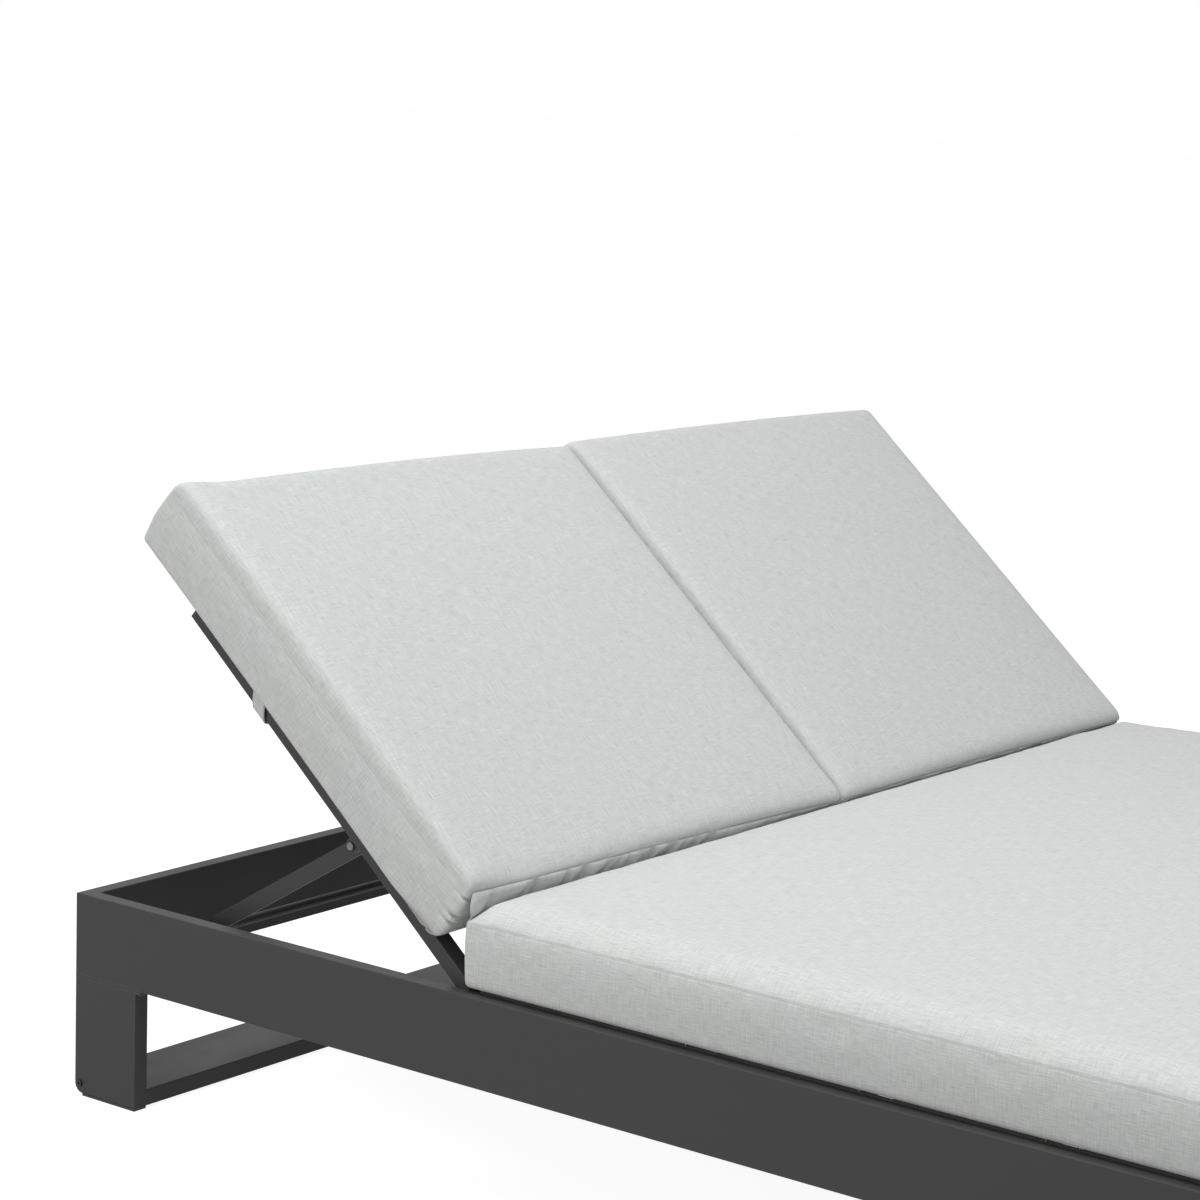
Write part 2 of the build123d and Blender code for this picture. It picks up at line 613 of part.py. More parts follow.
def strut_bolt(y_tube, inward):
    """The pivot bolt with its round head outside the lug and its nut inside the strut."""
    face = y_tube + inward * (LUG_INSET - BACK_TUBE_WIDTH / 2)
    tube_face = y_tube + inward * BACK_TUBE_WIDTH / 2
    nut_start = tube_face + inward * (STRUT_GAP + STRUT_THICKNESS + SIDE_CLEARANCE)
    nut_end = nut_start + inward * STRUT_NUT_HEIGHT
    bolt = rod_y(face, nut_end, PIVOT_X, PIVOT_Z, STRUT_BOLT_RADIUS)
    head = rod_y(face - inward * STRUT_BOLT_HEAD_HEIGHT, face, PIVOT_X, PIVOT_Z, STRUT_BOLT_HEAD_RADIUS)
    return bolt + head + rod_y(nut_start, nut_end, PIVOT_X, PIVOT_Z, STRUT_BOLT_HEAD_RADIUS)


def strut(y):
    """A flat strut from the pivot to the rod, bored for both, at rest."""
    half = STRUT_WIDTH / 2
    y0 = y - STRUT_THICKNESS / 2
    y1 = y + STRUT_THICKNESS / 2
    rod_x = PIVOT_X - STRUT_LENGTH
    bar = block((rod_x, y0, PIVOT_Z - half), (PIVOT_X, y1, PIVOT_Z + half))
    bar += rod_y(y0, y1, PIVOT_X, PIVOT_Z, half)
    bar += rod_y(y0, y1, rod_x, PIVOT_Z, half)
    bar -= rod_y(y0 - OVERRUN, y1 + OVERRUN, PIVOT_X, PIVOT_Z, STRUT_BOLT_RADIUS + RUNNING_CLEARANCE)
    bar -= rod_y(y0 - OVERRUN, y1 + OVERRUN, rod_x, PIVOT_Z, ROD_RADIUS)
    pivot_x, pivot_z = turned(PIVOT_X, PIVOT_Z, REST_RECLINE_DEG)
    return Pos(pivot_x - PIVOT_X, 0, pivot_z - PIVOT_Z) * swing(bar, PIVOT_X, PIVOT_Z, -STRUT_REST_DEG)


def stay_rod(y_outer_wall, y_inner_wall):
    """The round rod between the walls, a running gap short of each."""
    x, z = rod_centre(REST_RECLINE_DEG)
    y0, y1 = sorted((y_outer_wall, y_inner_wall))
    rod = rod_y(y0 + ROD_END_GAP, y1 - ROD_END_GAP, x, z, ROD_RADIUS)
    return rod - rod_y(y0, y1, x, z, ROD_RADIUS - ROD_WALL)


def make_back(side, y_sign):
    """One back frame with its stay, on the near (-1) or far (+1) side."""
    middle = y_sign * BACK_MIDDLE_Y
    reach = BACK_HALF_WIDTH - BACK_TUBE_WIDTH / 2
    tubes = {"outer": (middle + y_sign * reach, -y_sign), "inner": (middle - y_sign * reach, y_sign)}
    top_start = BACK_TUBE_LENGTH - BACK_TUBE_WIDTH
    pieces = {}
    for place, (y, inward) in tubes.items():
        pieces["back_tube_" + side + "_" + place] = reclined(back_side_tube(y))
        pieces["strut_" + side + "_" + place] = strut(middle - inward * STRUT_MIDDLE)
    pieces["back_top_tube_" + side] = reclined(back_cross_tube(top_start, middle))
    pieces["back_lower_tube_" + side] = reclined(back_cross_tube(LOWER_TUBE_START, middle))
    pieces["back_slats_" + side] = Compound([reclined(slat) for slat in back_slats(middle)])
    pieces["back_plugs_" + side] = Compound([reclined(tube_plug(y)) for y, inward in tubes.values()])
    pieces["strut_lugs_" + side] = Compound([reclined(strut_lug(*tube)) for tube in tubes.values()])
    pieces["strut_bolts_" + side] = Compound([reclined(strut_bolt(*tube)) for tube in tubes.values()])
    pieces["stay_rod_" + side] = stay_rod(y_sign * RAIL_INNER_Y, y_sign * BEAM_HALF)
    return pieces


# Cushions: lofts through sections with a crowned top and slightly drawn-in sides
def cushion_section(x, half, low, high, crown, radius):
    """A closed outline across the cushion at x: flat base, rounded edges, arched top."""
    turn = cos(pi / 4)
    inset = radius * (1 - turn)
    base_left = (x, -half + radius, low)
    base_right = (x, half - radius, low)
    side_low_right = (x, half, low + radius)
    side_high_right = (x, half, high - radius)
    top_right = (x, half - radius, high)
    top_left = (x, -half + radius, high)
    side_high_left = (x, -half, high - radius)
    side_low_left = (x, -half, low + radius)
    lines = [
        Line(base_left, base_right),
        ThreePointArc(base_right, (x, half - inset, low + inset), side_low_right),
        Line(side_low_right, side_high_right),
        ThreePointArc(side_high_right, (x, half - inset, high - inset), top_right),
        ThreePointArc(top_right, (x, 0, high + crown), top_left),
        ThreePointArc(top_left, (x, -half + inset, high - inset), side_high_left),
        Line(side_high_left, side_low_left),
        ThreePointArc(side_low_left, (x, -half + inset, low + inset), base_left),
    ]
    return make_face(lines)


def cushion(length, width, thickness, crown, radius):
    """A boxed cushion along X from 0, on z = 0: rounded ends, then a crowned span."""
    places = []
    for step in range(CUSHION_END_STEPS):
        angle = pi / 2 * step / CUSHION_END_STEPS
        places.append((radius * (1 - cos(angle)), radius * (1 - sin(angle))))
    span = length - 2 * radius
    for step in range(CUSHION_SPAN_STEPS + 1):
        places.append((radius + span * step / CUSHION_SPAN_STEPS, 0))
    places += [(length - x, inset) for x, inset in reversed(places[:CUSHION_END_STEPS])]
    sections = []
    for x, inset in places:
        share = max(0, 1 - (2 * x / length - 1) ** 2)
        bulge = sqrt(share)
        half = width / 2 - SIDE_DRAW_IN * share - inset
        corner = radius - inset * END_CORNER_SHARE
        rise = crown * bulge + radius * EDGE_CROWN_SHARE
        sections.append(cushion_section(x, half, inset, thickness - inset, rise, corner))
    return loft(sections, ruled=True)


def seat_cushion():
    """The one cushion that covers both halves of the seat."""
    length = LOUNGER_LENGTH - SEAT_FROM_HEAD - SEAT_FOOT_INSET
    width = LOUNGER_WIDTH - 2 * CUSHION_INSET
    pad = cushion(length, width, SEAT_THICKNESS, SEAT_CROWN, SEAT_EDGE_RADIUS)
    return Pos(HEAD_X + SEAT_FROM_HEAD, 0, SLAT_TOP + CUSHION_CLEARANCE) * pad


def back_cushion_span():
    """A back cushion's inner and outer edge, as distances from the centre line."""
    return BACK_CUSHION_GAP / 2, HALF_WIDTH - CUSHION_INSET


def back_cushion(y_sign):
    """A back cushion on its reclined frame."""
    inner, outer = back_cushion_span()
    pad = cushion(BACK_CUSHION_LENGTH, outer - inner, BACK_CUSHION_THICKNESS, BACK_CUSHION_CROWN,
                  BACK_EDGE_RADIUS)
    head_end = HINGE_X - BACK_CUSHION_START - BACK_CUSHION_LENGTH
    middle = y_sign * (inner + outer) / 2
    return reclined(Pos(head_end, middle, SLAT_TOP + CUSHION_CLEARANCE) * pad)


# Straps and hinge flaps
def back_strap(y_sign):
    """The strap round the outer side tube, between the last two slats, slanted so that it hangs plumb at rest."""
    slant = BACK_TUBE_DEPTH / cos(radians(REST_RECLINE_DEG)) * sin(radians(REST_RECLINE_DEG))
    top = SLAT_TOP + CUSHION_CLEARANCE
    bottom = SLAT_TOP - BACK_TUBE_DEPTH - BACK_STRAP_SLACK
    low = bottom - BACK_STRAP_THICKNESS
    last_slats = back_slat_reaches()[-2:]
    x0 = HINGE_X - sum(last_slats) / 2 - (slant + BACK_STRAP_WIDTH) / 2
    x1 = x0 + BACK_STRAP_WIDTH
    side = side_profile([(x0, top), (x1, top), (x1 + slant, low), (x0 + slant, low)])
    outer_face = BACK_OUTER_Y + BACK_STRAP_SLACK
    inner_face = BACK_OUTER_Y - BACK_TUBE_WIDTH - BACK_STRAP_SLACK
    outer_y = sorted((y_sign * outer_face, y_sign * (outer_face + BACK_STRAP_THICKNESS)))
    inner_y = sorted((y_sign * inner_face, y_sign * (inner_face - BACK_STRAP_THICKNESS)))
    whole_y = sorted((outer_y[0], outer_y[1], inner_y[0], inner_y[1]))
    loop = through_y(side, *outer_y)
    loop += through_y(side, *inner_y)
    rear = side_profile([(x0 + slant, low), (x1 + slant, low), (x1 + slant, bottom), (x0 + slant, bottom)])
    loop += through_y(rear, whole_y[0], whole_y[-1])
    return reclined(loop)


def seat_strap(x, y_sign):
    """A strap from the seat cushion's edge, over the rail and down between the slats."""
    half = SEAT_STRAP_THICKNESS / 2
    top = SLAT_TOP + CUSHION_CLEARANCE - half
    outer = HALF_WIDTH - CUSHION_INSET - SEAT_EDGE_RADIUS
    down = RAIL_INNER_Y - LEDGE_WIDTH - SEAT_STRAP_THICKNESS
    points = [Vector(0, y_sign * outer, top), Vector(0, y_sign * down, top),
              Vector(0, y_sign * down, top - SLAT_DEPTH - SEAT_STRAP_DROP)]
    path = FilletPolyline(*points, radius=2 * SEAT_STRAP_THICKNESS)
    edge = Pos(x, 0, 0) * path
    start = Plane(origin=edge @ 0, x_dir=(1, 0, 0), z_dir=edge % 0)
    return sweep(start * Rectangle(SEAT_STRAP_WIDTH, SEAT_STRAP_THICKNESS), path=edge)


def seat_straps():
    """The straps on both sides, each between two slats."""
    return Compound([seat_strap(x, y_sign) for x in seat_strap_middles() for y_sign in (-1, 1)])


def hinge_flap(y_sign):
    """The fabric strip that rises from the seat cushion's head edge to a back cushion."""
    inner, outer = back_cushion_span()
    x0 = HEAD_X + SEAT_FROM_HEAD
    z0 = SLAT_TOP + CUSHION_CLEARANCE + SEAT_THICKNESS + CUSHION_CLEARANCE
    x1 = x0 + FLAP_REACH
    z1 = z0 + FLAP_RISE
    crest_x = x0 - FLAP_REACH * FLAP_CREST_SHARE
    crest_z = z1 + FLAP_THICKNESS
    lines = [
        Line((x0, 0, z0), (x1, 0, z1 - FLAP_THICKNESS)),
        Line((x1, 0, z1 - FLAP_THICKNESS), (x1, 0, z1)),
        ThreePointArc((x1, 0, z1), ((x1 + crest_x) / 2, 0, crest_z), (crest_x, 0, crest_z)),
        Line((crest_x, 0, crest_z), (x0 - FLAP_THICKNESS, 0, z0 + FLAP_THICKNESS)),
        Line((x0 - FLAP_THICKNESS, 0, z0 + FLAP_THICKNESS), (x0, 0, z0)),
    ]
    y0, y1 = sorted((y_sign * (inner + FLAP_END_GAP), y_sign * (outer - FLAP_END_GAP)))
    return through_y(make_face(lines), y0, y1)


def make_soft_parts():
    pieces = {"seat_cushion": seat_cushion(), "seat_straps": seat_straps()}
    for side, y_sign in (("near", -1), ("far", 1)):
        pieces["back_cushion_" + side] = back_cushion(y_sign)
        pieces["back_strap_" + side] = back_strap(y_sign)
        pieces["hinge_flap_" + side] = hinge_flap(y_sign)
    return pieces


def build_lounger():
    """All sub-parts by name."""
    pieces = {}
    pieces.update(make_rails())
    pieces.update(make_legs())
    pieces.update(make_base())
    pieces.update(make_racks())
    pieces.update(make_hinges())
    pieces.update(make_back("near", -1))
    pieces.update(make_back("far", 1))
    pieces.update(make_soft_parts())
    return pieces


os.makedirs("parts", exist_ok=True)
for name, shape in build_lounger().items():
    export_step(shape, "parts/" + name + ".step")
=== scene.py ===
import json
import logging
import math
from dataclasses import dataclass, field
from enum import Enum
from typing import Dict, Optional, Sequence, Tuple, Union

import bmesh
import bpy
import numpy as np
from mathutils import Matrix, Vector


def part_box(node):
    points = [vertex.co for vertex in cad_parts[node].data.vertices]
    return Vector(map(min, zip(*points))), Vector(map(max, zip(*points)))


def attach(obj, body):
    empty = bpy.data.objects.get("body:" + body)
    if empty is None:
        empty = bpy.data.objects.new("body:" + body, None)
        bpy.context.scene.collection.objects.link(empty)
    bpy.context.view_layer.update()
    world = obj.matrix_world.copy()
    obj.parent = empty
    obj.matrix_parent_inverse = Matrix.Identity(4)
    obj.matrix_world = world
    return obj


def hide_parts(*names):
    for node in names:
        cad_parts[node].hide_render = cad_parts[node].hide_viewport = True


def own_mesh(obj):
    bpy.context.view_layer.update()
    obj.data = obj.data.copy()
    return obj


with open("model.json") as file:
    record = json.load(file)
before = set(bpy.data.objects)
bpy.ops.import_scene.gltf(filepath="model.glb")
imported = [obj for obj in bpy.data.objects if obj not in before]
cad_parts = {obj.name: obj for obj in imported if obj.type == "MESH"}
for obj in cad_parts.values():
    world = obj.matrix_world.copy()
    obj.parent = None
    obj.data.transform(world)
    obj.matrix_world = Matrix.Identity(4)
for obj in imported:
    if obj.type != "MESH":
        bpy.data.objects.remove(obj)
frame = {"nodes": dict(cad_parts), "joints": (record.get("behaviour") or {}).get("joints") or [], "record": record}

Colour = Tuple[float, float, float]
Point = Tuple[float, float, float]
Socket = bpy.types.NodeSocket
Node = bpy.types.Node
Object = bpy.types.Object
Mesh = bpy.types.Mesh
Material = bpy.types.Material
LOG = logging.getLogger("lounger")
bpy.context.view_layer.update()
MM = 0.001
CLOTH_MAP = "cloth"
ROLL_SAMPLES = 4001
SURFACE = {"Colour": "Color", "Height": "Float", "Rough": "Float"}
MASK = {"Mask": "Float"}


def mm(*lengths: float) -> Tuple[float, ...]:
    """Lengths in millimetres as metres."""
    return tuple(length * MM for length in lengths)


class Side(Enum):
    """The two users' halves, with the sign of their Y."""

    NEAR = -1
    FAR = 1

    @property
    def word(self) -> str:
        """The half's name in the CAD nodes and bodies."""
        return self.name.lower()


class Panel(Enum):
    """The three fabric panels of a boxed cushion."""

    TOP = 0
    BASE = 1
    BOXING = 2


class Slot(str, Enum):
    """The record's material slots."""

    COAT = "charcoal_coat"
    FABRIC = "cushion_fabric"
    WEBBING = "strap_webbing"
    PLASTIC = "black_plastic"
    BOLT = "steel_bolt"
    SCREW = "dark_screw"


@dataclass(frozen=True)
class HingeLine:
    """The line along Y that both backs turn about, and their recline at rest, in radians."""

    x: float
    z: float
    recline: float

    @classmethod
    def from_joints(cls, joints: Sequence[dict]) -> "HingeLine":
        """Reads the hinge line from the back hinge's joint.

        Args:
            joints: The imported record's joints.

        Returns:
            The hinge line, whose recline is the joint's travel down to flat.
        """
        hinge = next(j for j in joints if j["name"] == "back_hinge_near")
        return cls(hinge["pos_m"][0], hinge["pos_m"][2], math.radians(-hinge["range_deg"][0]))

    @property
    def downhill(self) -> Point:
        """The direction down the resting back."""
        return (math.cos(self.recline), 0.0, -math.sin(self.recline))

    def turned(self, points: np.ndarray, angle: float) -> np.ndarray:
        """Turns points up about the hinge line.

        Args:
            points: Points as rows of x, y and z.
            angle: The turn in radians, positive towards upright.

        Returns:
            The turned points.
        """
        moved = np.array(points, float).reshape(-1, 3)
        dx = moved[:, 0] - self.x
        dz = moved[:, 2] - self.z
        moved[:, 0] = self.x + dx * math.cos(angle) + dz * math.sin(angle)
        moved[:, 2] = self.z - dx * math.sin(angle) + dz * math.cos(angle)
        return moved

    def raised(self, points: np.ndarray) -> np.ndarray:
        """Turns points of the flat back up to rest."""
        return self.turned(points, self.recline)

    def laid_flat(self, points: np.ndarray) -> np.ndarray:
        """Turns points of the resting back down to flat."""
        return self.turned(points, -self.recline)


HINGE = HingeLine.from_joints(frame["joints"])


def node_points(node: str) -> np.ndarray:
    """A CAD node's vertices as rows of x, y and z."""
    return np.array([v.co for v in frame["nodes"][node].data.vertices], float).reshape(-1, 3)


def node_box(node: str) -> Tuple[np.ndarray, np.ndarray]:
    """A CAD node's lowest and highest corner."""
    low, high = (np.array(corner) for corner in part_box(node))
    return low, high


def eased(share: np.ndarray) -> np.ndarray:
    """Smooth steps from 0 to 1 over shares from 0 to 1."""
    t = np.clip(share, 0.0, 1.0)
    return t * t * (3.0 - 2.0 * t)


def quads(numbers: np.ndarray, flipped: bool = False) -> np.ndarray:
    """The faces between the rows and columns of a grid.

    Args:
        numbers: The grid's point numbers.
        flipped: Whether the faces look the other way.

    Returns:
        One row of four point numbers for each face.
    """
    corners = [numbers[:-1, :-1], numbers[1:, :-1], numbers[1:, 1:], numbers[:-1, 1:]]
    if flipped:
        corners[1], corners[3] = corners[3], corners[1]
    return np.stack(corners, -1).reshape(-1, 4)


def rounded(path: np.ndarray, times: int) -> np.ndarray:
    """Cuts a path's corners until it is a smooth curve between the same ends."""
    for _ in range(times):
        early, late = path[:-1] * 0.75 + path[1:] * 0.25, path[:-1] * 0.25 + path[1:] * 0.75
        cut = np.stack([early, late], 1).reshape(-1, path.shape[1])
        path = np.vstack([path[:1], cut, path[-1:]])
    return path


def resampled(path: np.ndarray, count: int) -> np.ndarray:
    """Points at even steps along a path."""
    run = np.concatenate([[0.0], np.cumsum(np.linalg.norm(np.diff(path, axis=0), axis=1))])
    wanted = np.linspace(0.0, run[-1], count)
    return np.stack([np.interp(wanted, run, column) for column in path.T], -1)


def unrolled(strip: np.ndarray) -> Tuple[np.ndarray, np.ndarray]:
    """The distances along and across the cloth of a strip's grid of points."""
    along = np.linalg.norm(np.diff(strip, axis=0, prepend=strip[:1]), axis=2).cumsum(0)
    across = np.linalg.norm(np.diff(strip, axis=1, prepend=strip[:, :1]), axis=2).cumsum(1)
    return along, across


def weights(new: np.ndarray, old: np.ndarray) -> np.ndarray:
    """The matrix that reads values at new places from values at old places.

    Args:
        new: The new places.
        old: The old places, in rising order.

    Returns:
        One row for each new place.
    """
    after = np.clip(np.searchsorted(old, new), 1, len(old) - 1)
    share = np.clip((new - old[after - 1]) / (old[after] - old[after - 1]), 0.0, 1.0)
    matrix = np.zeros((len(new), len(old)))
    rows = np.arange(len(new))
    matrix[rows, after - 1] = 1.0 - share
    matrix[rows, after] += share
    return matrix


class Piece:
    """Makes mesh objects whose place is in their mesh."""

    @staticmethod
    def linked(name: str, data: bpy.types.ID) -> Object:
        """Adds an object with a mesh, lamp or camera to the scene, at the origin."""
        made = bpy.data.objects.new(name, data)
        bpy.context.scene.collection.objects.link(made)
        return made

    @staticmethod
    def from_mesh(name: str, mesh: Mesh, material: Material) -> Object:
        """Adds a mesh in the row frame as an object.

        Args:
            name: The piece's name.
            mesh: Its mesh.
            material: Its one material.

        Returns:
            The new object.
        """
        mesh.name = name
        mesh.materials.clear()
        mesh.materials.append(material)
        return Piece.linked(name, mesh)

    @staticmethod
    def from_faces(name: str, points: np.ndarray, faces: Sequence[Sequence[int]],
                   material: Material, smooth: bool = True) -> Object:
        """Makes an object from points and faces.

        Args:
            name: The piece's name.
            points: Its points as rows of x, y and z.
            faces: Lists of point numbers, one for each face.
            material: Its one material.
            smooth: Whether its faces shade smoothly.

        Returns:
            The new object.
        """
        mesh = bpy.data.meshes.new(name)
        sides = [tuple(int(i) for i in face) for face in faces]
        mesh.from_pydata([tuple(p) for p in points], [], sides)
        mesh.polygons.foreach_set("use_smooth", [smooth] * len(mesh.polygons))
        mesh.update()
        return Piece.from_mesh(name, mesh, material)

    @staticmethod
    def baked(piece: Object) -> Object:
        """Turns a piece's modifiers into plain mesh and removes them."""
        view = bpy.context.evaluated_depsgraph_get()
        mesh = bpy.data.meshes.new_from_object(piece.evaluated_get(view))
        old = piece.data
        piece.modifiers.clear()
        piece.data = mesh
        bpy.data.meshes.remove(old)
        mesh.name = piece.name
        return piece

    @staticmethod
    def walled(piece: Object, thickness: float, offset: float) -> Object:
        """Gives a strip of faces a wall.

        Args:
            piece: The strip's object.
            thickness: The wall's thickness.
            offset: Which side it grows to: 0 for both, -1 for inwards.

        Returns:
            The same object with a plain mesh.
        """
        wall = piece.modifiers.new("thickness", "SOLIDIFY")
        wall.thickness, wall.offset = thickness, offset
        return Piece.baked(piece)

    @staticmethod
    def outward(piece: Object) -> Object:
        """Merges a closed shell's doubles and points its faces outwards."""
        shell = bmesh.new()
        shell.from_mesh(piece.data)
        bmesh.ops.remove_doubles(shell, verts=shell.verts, dist=1e-6)
        bmesh.ops.recalc_face_normals(shell, faces=shell.faces)
        shell.to_mesh(piece.data)
        shell.free()
        return piece

    @staticmethod
    def corners(mesh: Mesh) -> np.ndarray:
        """The point number at each corner of a mesh's faces."""
        found = np.zeros(len(mesh.loops), int)
        mesh.loops.foreach_get("vertex_index", found)
        return found

    @staticmethod
    def lay_cloth(mesh: Mesh, places: np.ndarray) -> None:
        """Writes the cloth map, in metres, from a place for each corner of the faces."""
        layer = mesh.uv_layers.new(name=CLOTH_MAP)
        layer.data.foreach_set("uv", places.astype(np.float32).ravel())


class Wiring:
    """Adds and joins nodes in one node tree."""

    def __init__(self, tree: bpy.types.NodeTree) -> None:
        """Keeps the tree that nodes go into."""
        self.tree = tree

    @classmethod
    def emptied(cls, owner: bpy.types.ID) -> "Wiring":
        """Takes over a material's or world's tree and clears it."""
        owner.use_nodes = True
        owner.node_tree.nodes.clear()
        return cls(owner.node_tree)

    @classmethod
    def opened(cls, name: str, kind: str, takes: Dict[str, str],
               gives: Dict[str, str]) -> Tuple["Wiring", Sequence[Socket], Node]:
        """Starts a node group.

        Args:
            name: The group's name.
            kind: Its tree's type name.
            takes: Its inputs' names and socket kinds.
            gives: Its outputs' names and socket kinds.

        Returns:
            The wiring, the input sockets by name, and the output node.
        """
        tree = bpy.data.node_groups.new(name, kind)
        for way, sockets in (("INPUT", takes), ("OUTPUT", gives)):
            for label, socket in sockets.items():
                tree.interface.new_socket(label, in_out=way, socket_type="NodeSocket" + socket)
        wiring = cls(tree)
        return wiring, wiring.add("NodeGroupInput").outputs, wiring.add("NodeGroupOutput")

    def add(self, kind: str, inputs: Optional[dict] = None, **settings: object) -> Node:
        """Adds a node.

        Args:
            kind: The node's type name.
            inputs: Values or sockets for its inputs, by name or number.
            settings: Values for the node's own properties.

        Returns:
            The new node.
        """
        made = self.tree.nodes.new(kind)
        for name, value in settings.items():
            setattr(made, name, value)
        self.fill(made, inputs or {})
        return made

    def fill(self, node: Node, inputs: dict) -> None:
        """Sets a node's inputs, by name or number, to values or to other sockets."""
        for name, value in inputs.items():
            if isinstance(value, Socket):
                self.tree.links.new(value, node.inputs[name])
            else:
                node.inputs[name].default_value = value

    def group(self, tree: bpy.types.NodeTree, inputs: dict) -> Sequence[Socket]:
        """Places a node group with its own values and gives its outputs."""
        return self.add("ShaderNodeGroup", inputs, node_tree=tree).outputs

    def maths(self, operation: str, first: object, second: object, clamp: bool = False) -> Socket:
        """A sum on two values.

        Args:
            operation: The Math node's operation.
            first: The first value or socket.
            second: The second value or socket.
            clamp: Whether the result stays between 0 and 1.

        Returns:
            The result's socket.
        """
        keys = {0: first, 1: second}
        return self.add("ShaderNodeMath", keys, operation=operation, use_clamp=clamp).outputs[0]

    def plus(self, first: object, second: object) -> Socket:
        """Two values added."""
        return self.maths("ADD", first, second)

    def times(self, first: object, second: object) -> Socket:
        """Two values multiplied."""
        return self.maths("MULTIPLY", first, second)

    def swing(self, value: Socket, amount: object) -> Socket:
        """A value's distance from a half, times an amount."""
        return self.times(self.maths("SUBTRACT", value, 0.5), amount)

    def vectors(self, operation: str, first: Socket, second: object) -> Sequence[Socket]:
        """The outputs of a sum on two vectors."""
        return self.add("ShaderNodeVectorMath", {0: first, 1: second}, operation=operation).outputs

    def noise(self, vector: Socket, scale: Union[float, Point], detail: float = 2.0,
              roughness: float = 0.5) -> Socket:
        """A noise texture's value.

        Args:
            vector: Where it is read.
            scale: Its scale, or one for each axis.
            detail: Its octaves.
            roughness: How strong the finer octaves are.

        Returns:
            The value's socket.
        """
        if isinstance(scale, tuple):
            vector, scale = self.vectors("MULTIPLY", vector, scale)[0], 1.0
        keys = {"Vector": vector, "Scale": scale, "Detail": detail, "Roughness": roughness}
        return self.add("ShaderNodeTexNoise", keys).outputs[0]

    def ranged(self, value: Socket, low: float, high: float, to_low: float = 0.0,
               to_high: float = 1.0) -> Socket:
        """Maps a value's range to another, and clamps it.

        Args:
            value: The socket to map.
            low: The value that becomes to_low.
            high: The value that becomes to_high.
            to_low: The result at low.
            to_high: The result at high.

        Returns:
            The mapped socket.
        """
        keys = {"Value": value, "From Min": low, "From Max": high,
                "To Min": to_low, "To Max": to_high}
        return self.add("ShaderNodeMapRange", keys).outputs[0]

    def mixed(self, share: object, first: object, second: object, blend: str = "MIX") -> Socket:
        """Mixes two colours.

        Args:
            share: How much of the second one, as a value or socket.
            first: The first colour or socket.
            second: The second colour or socket.
            blend: The blend type.

        Returns:
            The mixed colour's socket.
        """
        keys = {0: share, 6: first, 7: second}
        return self.add("ShaderNodeMix", keys, data_type="RGBA", blend_type=blend).outputs[2]

    def bump(self, height: Socket, strength: float, distance: float) -> Socket:
        """The normal that a height gives."""
        keys = {"Strength": strength, "Distance": distance, "Height": height}
        return self.add("ShaderNodeBump", keys).outputs[0]


def opaque(colour: Colour) -> Tuple[float, float, float, float]:
    """A colour with full alpha."""
    return (*colour, 1.0)


